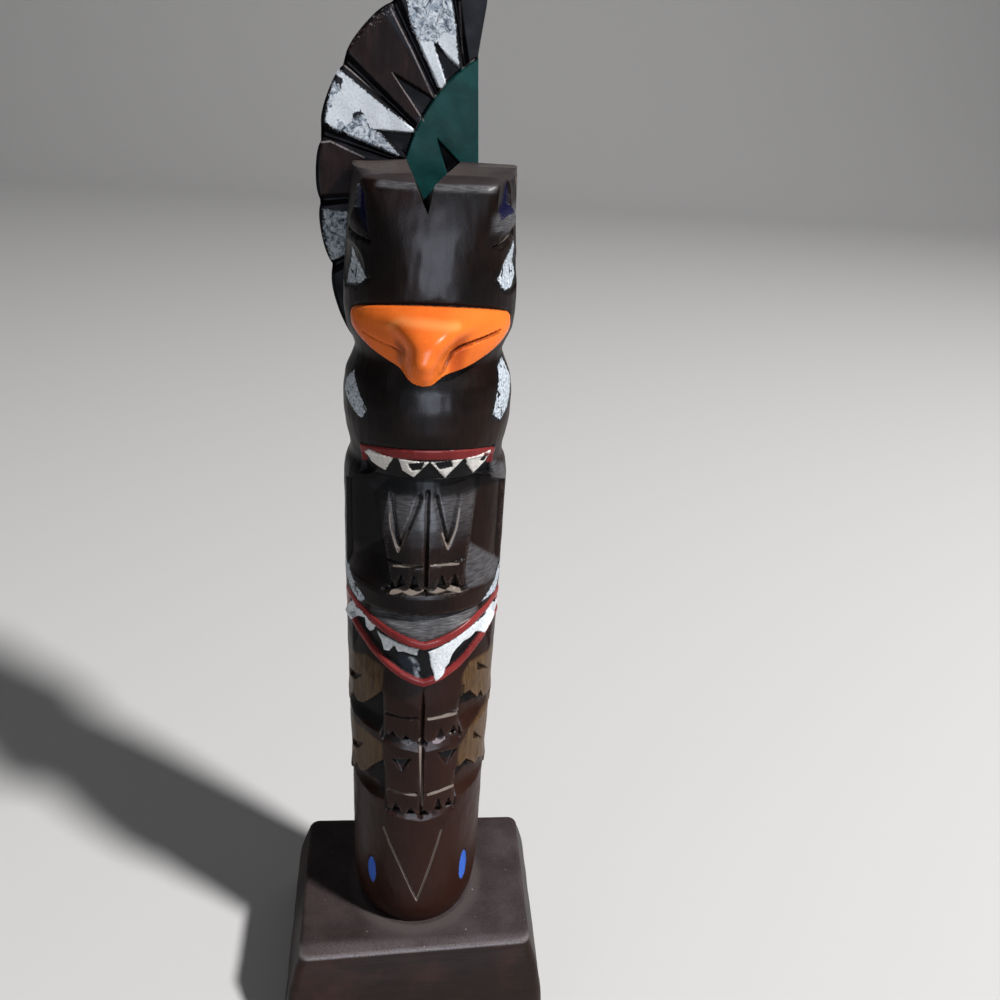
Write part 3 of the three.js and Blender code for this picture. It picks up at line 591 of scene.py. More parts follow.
def carve_upper_mouth(stick):
    angle, height = stick.angle, stick.height
    ends = arc(MOUTH["half_angle"]) - np.abs(stick.u)
    top = mouth_line(angle, "top", "top_side")
    lip = mouth_line(angle, "lip", "lip_side")
    stick.cut(stick.radius - 0.4, least(lip + 3.1 - height, height - top, ends), 0.25)
    floor = mix(19.5, 20.7, np.clip((height - 168) / 6, 0, 1))
    jaw = MOUTH["jaw"] - 1.2 * (angle / MOUTH["half_angle"]) ** 2
    stick.cut(floor, least(lip - height, height - jaw, ends), 0.25)
    for tooth in UPPER_TEETH:
        stick.chip(tooth, -0.45)
    for hole in TOOTH_CHIPS:
        stick.chip(hole, 0.35)


def carve_upper_paws(stick):
    angle, height = stick.angle, stick.height
    away = np.abs(angle)
    top = HOLLOW["top"] - 1.6 * (angle / HOLLOW["half_angle"]) ** 2
    top = mix(top, 166.8 - 0.164 * (away - 47), smooth(42, 48, away))
    side = smooth(26, HOLLOW["half_angle"], away)
    floor = mix(HOLLOW["floor"], HOLLOW["side_floor"], side)
    bend = mix(149, 139.5, smooth(30, HOLLOW["half_angle"], away))
    rise = np.clip((height - HOLLOW["foot"]) / (bend - HOLLOW["foot"]), 0, 1)
    hollow = mix(DRAWN_RADIUS + 0.4, floor, rise)
    ends = arc(HOLLOW["half_angle"]) - np.abs(stick.u)
    inside = least(top - height, height - HOLLOW["foot"] + 1, ends)
    stick.cut(hollow, inside, 0.35)
    face = paw_levels(height)[2]
    wedge = least(paw_inside(angle, height), height - 136.4, 170.5 - height)
    stick.add(face, wedge, 0.35)
    between_claws = (
        ((-10.6, 161.8), (-8.6, 155.6), (-6.9, 149)), ((-2.2, 162), (-4.4, 155.6), (-6.9, 149)),
        ((2.6, 162), (4, 156), (5.3, 150)), ((9.3, 161.8), (7.2, 155.8), (5.3, 150)),
    )
    for path in between_claws:
        stick.knife(seen(path, 20.6), (2.2, 1.4), 1.15)
    stick.knife(((0.4, 163.5), (0.2, 150), (0.2, 135.4)), (1.5, 1.2), 1.1)
    stick.knife(seen(((-10.5, 144.3), (-5.5, 143.4), (-1.3, 143.6))), (1.1, 1.1), 0.8)
    stick.knife(seen(((2.6, 144.2), (6, 144), (10.2, 144.6))), (1.1, 1.1), 0.8)
    for x in (-6.5, -3, 4.5, 8):
        stick.chip(seen(((x - 1.5, 135.9), (x - 0.1, 140.4), (x + 1.5, 135.9))), 1.9)
    stick.chip(seen(((-9.6, 135.6), (-9.2, 138.2), (-8.2, 135.6))), 1.4)
    stick.knife(((-30, 135.1), (-10, 135.8), (12, 135.7), (31, 135.4)), (1.4, 1.4), 0.9)


def carve_snout(stick):
    angle, height = stick.angle, stick.height
    top, foot, radius = snout_top(angle), snout_foot(angle), snout_radius(angle)
    ends = arc(SNOUT["half_angle"]) - np.abs(stick.u)
    brow = stick.window(((-72, 128.6), (72, 134.2)), 3)
    band = np.minimum(stick.height[brow] - 128.4, 134.6 - stick.height[brow])
    stick.radius[brow] += 0.35 * smooth(-1, 1, band) * smooth(76, 60, np.abs(stick.angle[brow]))
    body = least(top + 0.6 - height, height - foot, ends)
    stick.add(radius, body)
    under = mix(20, 21.8, smooth(24, 46, np.abs(angle)))
    t = np.clip((height - top) / (SNOUT["brow_foot"] - top), 0, 1)
    slope = mix(radius, under, t ** 0.8)
    part = least(SNOUT["brow_foot"] - height, height - top, arc(46) - np.abs(stick.u))
    on_slope = (height > top) & (height < SNOUT["brow_foot"]) & (np.abs(angle) < 46)
    stick.radius = np.where(on_slope, slope, stick.radius)
    stick.cut(slope, part)
    lips = SNOUT["lip"]
    opening = least(top - lips - height, height - foot - lips, arc(66) - np.abs(stick.u))
    stick.cut(radius - 1.1, opening, 0.25)
    for edge, shift in ((top, -lips), (foot, lips)):
        bead = np.abs(height - edge - shift / 2) / (lips * 0.62)
        stick.radius += np.where(ends > 0, 0.35 * np.clip(1 - bead ** 2, 0, 1), 0)
    for tooth in LOWER_TEETH:
        stick.chip(tooth, -0.35)
    chin = least(foot - height, height - foot + 11, arc(64) - np.abs(stick.u))
    depth = np.clip((height - foot + 11) / 11, 0, 1)
    stick.cut(mix(DRAWN_RADIUS + 0.3, 20.7, depth), chin)


def carve_tier(stick, tier):
    angle, height = stick.angle, stick.height
    away = np.abs(angle)
    edge = fin_edge(tier, angle)
    ends = np.minimum(arc(away - 31), arc(104 - away))
    rise = np.clip((height - edge) / tier["height"], 0, 1)
    flap = least(height - edge, edge + tier["height"] - height, ends)
    stick.add(tier["radius"] - 1.4 * rise, flap)
    above_shelf = height - tier["shelf"]
    floor = mix(19.2, 21, smooth(45, 80, away))
    gap = least(edge - height, above_shelf, ends)
    stick.cut(mix(DRAWN_RADIUS + 0.4, floor, smooth(0, 6, above_shelf)), gap, 0.25)
    for (a0, h0), (a1, h1) in tier["notch"]:
        low = (mix(a0, a1, 0.6), mix(h0, h1, 0.4) - 1)
        stick.chip(((a0, h0 - 1.2), (a0, h0 + 1.4), (a1, h1), low), 1.1)
    middle, half = bearing(tier["centre"]), bearing(tier["half_width"])
    claws = claw_edge(tier, angle)
    across = np.minimum(arc(angle - middle + half), arc(half - angle + middle))
    t = np.clip((height - claws + 4) / 4, 0, 1)
    under = least(claws - height, height - claws + 4, across)
    stick.cut(mix(DRAWN_RADIUS + 0.2, 19.7, t), under, 0.25)
    top, foot = tier["top"], tier["claws"]
    parting = ((middle, top), (middle + 0.3, mix(top, foot, 0.5)), (middle, foot - 3))
    stick.knife(parting, (1.5, 1.2), 1.1)
    for side in SIDES:
        fence = middle + side * half
        stick.knife(((fence, tier["knuckle"] + 9), (fence, foot - 0.5)), (0.9, 1.3), 0.6)
    x, reach, level = tier["centre"], tier["half_width"], tier["knuckle"]
    left = ((x - reach + 1, level - 0.1), (x - reach / 2, level - 0.5), (x - 1.6, level))
    right = ((x + 1.7, level - 0.1), (x + reach / 2, level), (x + reach - 0.6, level + 1))
    stick.knife(seen(left), (1.2, 1), 0.8)
    stick.knife(seen(right), (1, 1.2), 0.8)
    for cx, tip in tier["claw_cuts"]:
        foot = float(claw_edge(tier, bearing(cx))) - 0.6
        stick.chip(seen(((cx - 1.6, foot), (cx, max(tip, foot + 2.6)), (cx + 1.6, foot))), 1.5)
    for outline in tier["chips"]:
        stick.chip(seen(outline), 1.5, 0.8)


def carve_foot(stick):
    stick.knife(seen(SHAFT_MARK, 21.3), (0.9, 0.9), 0.55)
    for angle, height, half in OVALS:
        part = stick.window(((angle - 6, height - half), (angle + 6, height + half)))
        stick.dish((arc(angle), height), (2, half), 0.7, 0.6, part)


def carved_stick(spacing):
    """The whole stick, carved on a grid with this spacing in mm."""
    front = np.arange(-FRONT_HALF, FRONT_HALF, math.degrees(spacing / DRAWN_RADIUS))
    back = np.arange(FRONT_HALF, 360 - FRONT_HALF, BACK_STEP)
    angles = np.sort(np.concatenate([front, np.where(back > 180, back - 360, back)]))
    heights = np.linspace(0, DRAWN_HEIGHT, int(DRAWN_HEIGHT / spacing) + 1)
    stick = Carving(angles, heights)
    carve_head(stick)
    carve_upper_mouth(stick)
    carve_upper_paws(stick)
    for tier in reversed(TIERS):
        carve_tier(stick, tier)
    carve_snout(stick)
    carve_beak(stick)
    carve_foot(stick)
    stick.radius += 0.07 * waves(stick.u, stick.height, 3, 14, 5, 16)
    stick.radius += 0.03 * waves(stick.u, stick.height * 0.5, 4, 14, 1.6, 4)
    for path, half in PALE_STROKES:
        stick.knife(path, (2.6 * half, 2.6 * half), 0.22)
    return stick


# Meshes


def mesh_from(name, points, faces):
    """A mesh from points in mm and arrays of triangles or quads."""
    mesh = bpy.data.meshes.new(name)
    corners = np.concatenate([f.ravel() for f in faces]).astype(np.int32)
    counts = np.concatenate([np.full(len(f), f.shape[1]) for f in faces])
    starts = np.concatenate([[0], np.cumsum(counts)[:-1]]).astype(np.int32)
    mesh.vertices.add(len(points))
    mesh.vertices.foreach_set("co", np.asarray(points, np.float32).ravel() * MM)
    mesh.loops.add(len(corners))
    mesh.loops.foreach_set("vertex_index", corners)
    mesh.polygons.add(len(counts))
    mesh.polygons.foreach_set("loop_start", starts)
    mesh.update(calc_edges=True)
    mesh.validate()
    return mesh


def stacked(rings, low_centre, high_centre):
    """Points and faces of rings laid on each other, closed at both ends by a centre point."""
    count = rings.shape[1]
    points = np.concatenate([rings.reshape(-1, 3), [low_centre, high_centre]])
    here = np.arange(count)
    after = (here + 1) % count
    starts = np.arange(len(rings) - 1)[:, None] * count
    quads = np.stack([starts + here, starts + after, starts + after + count, starts + here + count], -1)
    low, high = len(points) - 2, len(points) - 1
    last = (len(rings) - 1) * count
    bottom = np.stack([after, here, np.full(count, low)], -1)
    top = np.stack([last + here, last + after, np.full(count, high)], -1)
    return points, [quads.reshape(-1, 4), np.concatenate([bottom, top])]


def closed_off(rings, shares):
    """Rings with smaller copies of the last one laid after them."""
    return np.concatenate([rings, [rings[-1] * (share, share, 1) for share in shares]])


def new_piece(name, points, faces, node):
    piece = bpy.data.objects.new(name, mesh_from(name, points, faces))
    bpy.context.scene.collection.objects.link(piece)
    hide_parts(node)
    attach(piece, "root")
    return piece


def with_modifier(piece, kind, **settings):
    """Adds one modifier, sets it and applies it to the piece's mesh."""
    modifier = piece.modifiers.new(kind.title(), kind)
    for key, value in settings.items():
        setattr(modifier, key, value)
    view = bpy.context.evaluated_depsgraph_get()
    mesh = bpy.data.meshes.new_from_object(piece.evaluated_get(view))
    piece.modifiers.clear()
    old = piece.data
    piece.data = mesh
    bpy.data.meshes.remove(old)
    mesh.name = piece.name


def thinned(piece, most):
    """Thins a piece to at most this many triangles."""
    faces = sum(len(p.vertices) - 2 for p in piece.data.polygons)
    if faces > most:
        with_modifier(piece, "DECIMATE", ratio=most / faces)


def shade(piece, crease):
    mesh = piece.data
    mesh.polygons.foreach_set("use_smooth", np.ones(len(mesh.polygons), bool))
    mesh.set_sharp_from_angle(angle=math.radians(crease))
    mesh.update()


def store(mesh, name, values):
    field = mesh.attributes.new(name, "FLOAT", "POINT")
    field.data.foreach_set("value", np.asarray(values, np.float32))


def vertices_of(mesh):
    points = np.empty(len(mesh.vertices) * 3, np.float32)
    mesh.vertices.foreach_get("co", points)
    return points.reshape(-1, 3).astype(float) / MM


def lift_of(s):
    """Height in mm of the pole's foot."""
    return (s.block_height + s.seat_gap) / MM


def board_front(s):
    """How far in mm the board's face lies behind the pole's axis."""
    return s.pole_radius / MM - s.head_flat / MM + s.seat_gap / MM


# Finishes


class Value:
    """A node socket that can stand in sums with numbers and other sockets."""

    def __init__(self, finish, socket):
        self.finish, self.socket = finish, socket

    def sum(self, operation, *values):
        return self.finish.node("ShaderNodeMath", {"operation": operation}, dict(enumerate(values)))

    def __add__(self, other):
        return self.sum("ADD", self, other)

    __radd__ = __add__

    def __sub__(self, other):
        return self.sum("SUBTRACT", self, other)

    def __rsub__(self, other):
        return self.sum("SUBTRACT", other, self)

    def __mul__(self, other):
        return self.sum("MULTIPLY", self, other)

    __rmul__ = __mul__

    def __pow__(self, other):
        return self.sum("POWER", self, other)

    def most(self, other):
        return self.sum("MAXIMUM", self, other)

    def step(self, low, high):
        """0 below low, 1 above high, and smooth between."""
        settings = {"interpolation_type": "SMOOTHSTEP"}
        return self.finish.node("ShaderNodeMapRange", settings, {0: self, 1: low, 2: high, 3: 0.0, 4: 1.0})


class Finish:
    """A material built from a Principled shader and expressions on its sockets."""

    def __init__(self, name, **constants):
        self.material = bpy.data.materials.new(name)
        self.material.use_nodes = True
        self.tree = self.material.node_tree
        self.shader = self.tree.nodes["Principled BSDF"]
        self.look = None
        for socket, value in constants.items():
            self.shader.inputs[socket.replace("_", " ")].default_value = value
        place = self.node("ShaderNodeTexCoord", {}, {}, "Object")
        self.place = self.node("ShaderNodeVectorMath", {"operation": "SCALE"}, {0: place, 3: 1 / MM})

    def node(self, kind, settings, inputs, output=0):
        made = self.tree.nodes.new(kind)
        for key, value in settings.items():
            setattr(made, key, value)
        for key, value in inputs.items():
            if isinstance(value, Value):
                self.tree.links.new(value.socket, made.inputs[key])
            else:
                made.inputs[key].default_value = value
        return Value(self, made.outputs[output])

    def field(self, name):
        return self.node("ShaderNodeAttribute", {"attribute_name": name}, {}, "Fac")

    def stretched(self, scale):
        return self.node("ShaderNodeVectorMath", {"operation": "MULTIPLY"}, {0: self.place, 1: scale})

    def noise(self, scale, detail=3.0, rough=0.5, bend=0.0):
        scales = scale if isinstance(scale, tuple) else (scale, scale, scale)
        inputs = {"Vector": self.stretched(scales), "Scale": 1.0, "Detail": detail,
                  "Roughness": rough, "Distortion": bend}
        return self.node("ShaderNodeTexNoise", {}, inputs)

    def flakes(self, scale):
        """Distance from the edges of cells, such as flakes of old paint."""
        inputs = {"Vector": self.stretched((scale, scale, scale)), "Scale": 1.0}
        return self.node("ShaderNodeTexVoronoi", {"feature": "DISTANCE_TO_EDGE"}, inputs)

    def axis(self, index):
        return self.node("ShaderNodeSeparateXYZ", {}, {0: self.place}, index)

    def blend(self, share, low, high):
        """A colour between two colours; each is a Value or three numbers."""
        full = [c if isinstance(c, Value) else (*c, 1.0) for c in (low, high)]
        return self.node("ShaderNodeMix", {"data_type": "RGBA"}, {0: share, 6: full[0], 7: full[1]}, 2)

    def lay(self, share, colour):
        """Lays a colour over the look so far."""
        self.look = self.blend(share, self.look, colour)

    def paint(self, name, ragged, chips, colour, share=1.0, soft=0.12):
        """Lays paint where a field in mm is above 0, with a ragged edge, and gives that share."""
        mask = (self.field(name) + ragged * chips).step(-soft, soft) * share
        self.lay(mask, colour)
        return mask

    def feed(self, socket, value):
        self.tree.links.new(value.socket, self.shader.inputs[socket])

    def bump(self, height, strength):
        """Feeds a height in mm to the shader's normal."""
        inputs = {"Strength": strength, "Distance": MM, "Height": height}
        self.feed("Normal", self.node("ShaderNodeBump", {}, inputs))

    def wear_on(self, piece):
        piece.data.materials.clear()
        piece.data.materials.append(self.material)


# Colours of wear and dirt, of painted shade and of painted highlight, as linear numbers.
TINTS = {
    "crease": (0.004, 0.003, 0.003),
    "painted sheen": (0.105, 0.106, 0.115),
    "dust": (0.048, 0.038, 0.040),
    "streaks": (0.22, 0.21, 0.21),
    "chamfer": (0.27, 0.225, 0.25),
    "gap": (0.002, 0.0018, 0.0018),
    "black": (0.005, 0.005, 0.006),
    "red speck": (0.02, 0.008, 0.008),
    "deep orange": (0.66, 0.10, 0.014),
    "highlight orange": (0.95, 0.36, 0.11),
    "shaded orange": (0.44, 0.055, 0.012),
    "crease_shade_and_grime": (0.075, 0.014, 0.006),
    "eye grey": (0.22, 0.26, 0.31),
    "fang grey": (0.50, 0.56, 0.62),
    "fang white": (0.78, 0.80, 0.82),
    "dark gloss": (0.014, 0.018, 0.028),
    "sheen": (0.42, 0.47, 0.54),
    "worn black": (0.014, 0.013, 0.018),
    "pale line": (0.22, 0.20, 0.20),
    "pale rim": (0.26, 0.245, 0.24),
    "red stain": (0.045, 0.016, 0.010),
    "foot ring": (0.085, 0.070, 0.066),
    "bits": (0.55, 0.52, 0.50),
    "edge highlight": (0.26, 0.235, 0.245),
}


def shaded(colour, share):
    return [v * share for v in colour]


def pole_finish(c):
    f = Finish("carved_wood", Specular_IOR_Level=0.07, Coat_Weight=0.05, Coat_Roughness=0.2)
    grain = f.noise((1.5, 1.5, 0.1), 4.0, 0.6)
    fibre = f.noise((5.0, 5.0, 0.35), 3.0, 0.6)
    patch = f.noise(0.07, 3.0, 0.55)
    fine = f.noise(1.6, 4.0, 0.65)
    speck = f.noise(3.2, 2.0, 0.5)
    tone = (grain * 0.3 + patch * 0.6 + f.field("warm") * 0.45).step(0.34, 1.0)
    f.look = f.blend(tone, c.wood_dark, c.wood_warm)
    f.paint("fins", 1.5, patch - 0.5, c.fin_brown, 0.35 + 0.65 * grain.step(0.3, 0.7), 0.7)
    edge = f.field("edge")
    # Painted shade: the creases, where the surface lies below its blurred self, are darkened.
    crease = (0.0 - edge).step(0.05, 0.3)
    bare = edge.step(0.09, 0.3) * fine.step(0.42, 0.66) * f.field("worn")
    # Pale wood along the cuts, and beside the paws' V cuts a painted highlight.
    lines = f.field("pale_cut").step(-0.12, 0.15) * fine.step(0.2, 0.4) * 0.8
    f.lay(bare, c.wood_bare)
    f.lay(crease * 0.7, TINTS["crease"])
    splinters = f.field("notch") * (0.25 + 0.75 * fibre.step(0.4, 0.65))
    f.lay(lines.most(splinters * 0.7), c.wood_bare)
    # Painted highlight: a pale, streaked sheen on the faces where light falls, and on the snout's top pale
    # streaks, scratches with painted highlight.
    streaks = f.noise((0.3, 0.3, 4.0), 3.0, 0.6)
    grey = f.field("grey") * (0.35 + streaks.step(0.35, 0.65) * 0.65)
    f.lay(grey, TINTS["painted sheen"])
    f.lay(f.field("dusty") * (0.6 + 0.4 * patch.step(0.3, 0.7)), TINTS["dust"])
    f.lay(streaks.step(0.60, 0.70) * f.field("scratches_and_sheen") * 0.6, TINTS["streaks"])
    edge_noise = (fine - 0.5) * 1.1
    f.paint("chamfer", 0.8, edge_noise, TINTS["chamfer"], 0.8)

    # Painted shadow: the gaps under the fins, the band under the chin and the left of the hollow are laid
    # near black.
    gap = f.field("gap").step(-0.2, 0.8) * 0.85
    f.lay(gap, TINTS["gap"])
    f.paint("black", 0.3, edge_noise, TINTS["black"])
    f.paint("navy", 0.6, edge_noise, c.ear_navy, 0.55 + 0.45 * fine.step(0.4, 0.6))
    blue = f.paint("blue", 0.5, edge_noise, c.oval_blue)

    reds = f.blend(patch.step(0.3, 0.7), c.lip_red, shaded(c.lip_red, 1.5))
    reds = f.blend(speck.step(0.68, 0.75) * 0.6, reds, TINTS["red speck"])
    red = f.paint("red", 0.45, edge_noise, reds)

    # Painted shade: the beak's flanks beside the nose are darker orange.
    flank = (f.field("flank") + (patch - 0.5) * 0.8).step(-0.1, 0.9)
    orange = f.blend(patch.step(0.3, 0.75) * 0.6, c.beak_orange, TINTS["deep orange"])
    # Painted highlight: a paler orange along the beak's top ridge.
    orange = f.blend(f.field("bridge").step(0, 1) * 0.5, orange, TINTS["highlight orange"])
    orange = f.blend(flank * 0.55, orange, TINTS["shaded orange"])
    # Painted shade in the beak's creases, with specks of grime.
    crease_shade_and_grime = (0.0 - edge).step(0.04, 0.22) * f.field("beak").step(0.5, 1.5) * 0.6
    orange = f.blend(crease_shade_and_grime.most(speck.step(0.69, 0.75) * 0.8), orange, TINTS["crease_shade_and_grime"])
    beak = f.paint("beak", 0.25, edge_noise, orange, soft=0.15)

    chipped = f.noise(0.42, 4.0, 0.6, 0.8)
    greys = f.blend(fine.step(0.35, 0.65), TINTS["eye grey"], c.eye_white)
    eye = f.paint("eye", 1.2, edge_noise, greys, chipped.step(0.37, 0.42))
    creams = f.blend(fine.step(0.3, 0.7), shaded(c.tooth_cream, 0.72), c.tooth_cream)
    tooth = f.paint("tooth", 0.7, edge_noise, creams, 1 - speck.step(0.66, 0.72) * 0.8)
    whites = f.blend(fine.step(0.3, 0.7), TINTS["fang grey"], TINTS["fang white"])
    fang = f.paint("fang", 0.9, edge_noise, whites, 1 - speck.step(0.64, 0.7))
    glint = f.field("glint").step(-0.2, 1.2)
    sheen = f.field("sheen").step(-0.3, 1.0) * chipped.step(0.38, 0.6)
    f.lay(glint, f.blend(sheen, TINTS["dark gloss"], TINTS["sheen"]))
    f.feed("Base Color", f.look)

    paint = beak.most(red).most(blue)
    chalk = eye.most(tooth).most(fang)
    rough = 0.30 + 0.14 * (grain - 0.3) + 0.12 * patch + gap * 0.4
    rough = rough + paint * -0.12 + chalk * 0.1 + bare * 0.15 + crease * 0.2
    f.feed("Roughness", rough)
    height = grain * 0.035 + fibre * 0.03 + fine * 0.03
    height = height * (1 - paint * 0.6) + paint.most(chalk) * 0.16 + speck * 0.03
    f.bump(height, 0.8)
    return f


def board_finish(c):
    f = Finish("painted_feathers", Specular_IOR_Level=0.03, Coat_Weight=0.0, Coat_Roughness=0.3)
    fine = f.noise(1.7, 4.0, 0.65)
    patch = f.noise(0.16, 3.0, 0.6, 0.4)
    speck = f.noise(3.4, 2.0, 0.5)
    grain = f.noise((0.7, 0.7, 0.09), 4.0, 0.6)
    edge_noise = fine - 0.5
    f.look = f.blend(patch.step(0.4, 0.7), TINTS["black"], TINTS["worn black"])
    brown = f.field("brown").step(-0.2, 0.3)
    grained = (grain * 0.7 + patch * 0.5).step(0.45, 0.85)
    f.lay(brown, f.blend(grained, shaded(c.feather_brown, 0.35), c.feather_brown))
    marble = f.noise(0.55, 5.0, 0.62, 1.2)
    crackle = 1 - (1 - f.flakes(0.5).step(0.01, 0.08)) * fine.step(0.45, 0.6) * 0.6
    silvers = f.blend(marble.step(0.42, 0.6), c.feather_silver, shaded(c.feather_white, 0.9))
    silver = f.paint("silver", 2.4, edge_noise, silvers, crackle * marble.step(0.34, 0.42), 0.2)
    whites = f.blend(fine.step(0.25, 0.6), shaded(c.feather_white, 0.72), c.feather_white)
    white = f.paint("white", 1.5, edge_noise, whites, 1 - speck.step(0.70, 0.76) * 0.8, 0.15)
    greens = f.blend(patch.step(0.35, 0.65), c.shoulder_green, shaded(c.shoulder_green, 1.5))
    green = f.paint("green", 0.2, edge_noise, greens)
    # Pale lines along some feather edges, and a painted highlight along the shoulder's edge.
    line = f.field("line").step(-0.12, 0.12) * fine.step(0.3, 0.5)
    f.lay(line * 0.7, TINTS["pale line"])
    rim = f.field("rim").step(-0.4, 0.8) * fine.step(0.56, 0.64)
    f.lay(rim * 0.6, TINTS["pale rim"])
    f.feed("Base Color", f.look)
    f.feed("Roughness", 0.34 + 0.2 * fine + white * 0.12 + brown * 0.08)
    height = grain * 0.08 * brown + fine * 0.05 + white.most(silver) * 0.2 + green * 0.05
    f.bump(height, 0.8)
    return f


def block_finish(c):
    f = Finish("stained_block", Specular_IOR_Level=0.07, Coat_Weight=0.1, Coat_Roughness=0.25)
    x, y = f.axis(0), f.axis(1)
    grain = f.noise((0.06, 1.3, 1.3), 4.0, 0.6)
    fibre = f.noise((0.25, 4.5, 4.5), 3.0, 0.6)
    patch = f.noise(0.055, 4.0, 0.6)
    fine = f.noise(1.8, 4.0, 0.65)
    speck = f.noise(1.15, 1.0, 0.4)
    grained = (grain * 0.7 + patch * 0.5).step(0.4, 0.85)
    f.look = f.blend(grained, shaded(c.block_brown, 0.55), c.block_brown)
    f.lay(patch.step(0.5, 0.75) * 0.5, TINTS["red stain"])
    flat = f.field("top").step(0.1, 0.95)
    away = (x * x + y * y) ** 0.5
    ring = away.step(19.5, 20.5) * (1 - away.step(20.5, 25))
    dust = flat * (0.30 + 0.45 * patch.step(0.3, 0.7) + 0.3 * fine.step(0.35, 0.75) + ring * 0.5)
    # Painted shadow: the dust is dimmed towards the top's left and front, where the pole's shadow falls.
    shaded_side = (x + y * 0.4).step(-48, 10) * 0.45 + 0.55
    f.lay(dust.sum("MINIMUM", dust * shaded_side, 1.0), c.block_dust)
    f.lay(flat * ring * 0.45, TINTS["foot ring"])
    bits = speck.step(0.80, 0.81) * flat
    f.lay(bits, TINTS["bits"])
    # Painted highlight along the block's front top edge.
    painted_edge_highlight = f.field("painted_edge_highlight").step(0.1, 1.0) * (0.4 + 0.6 * fine.step(0.3, 0.6))
    f.lay(painted_edge_highlight * 0.5, TINTS["edge highlight"])
    f.feed("Base Color", f.look)
    f.feed("Roughness", 0.33 + 0.14 * fine + flat * 0.22 + 0.1 * grain)
    f.bump(grain * 0.04 + fibre * 0.04 + fine * 0.03 + bits * 0.25, 0.7)
    return f


# The pieces


def notch_cutter():
    rings = []
    for y in sorted(NOTCH, reverse=True):
        left, middle, right = NOTCH[y]
        outline = [left, middle, right, (right[0], right[1] + 4), (left[0], left[1] + 4)]
        rings.append([(x, y, z) for x, z in outline])
    rings = np.array(rings, float)
    low, high = rings.mean(axis=1)
    points, faces = stacked(rings, low, high)
    return mesh_from("notch_cutter", points, faces)


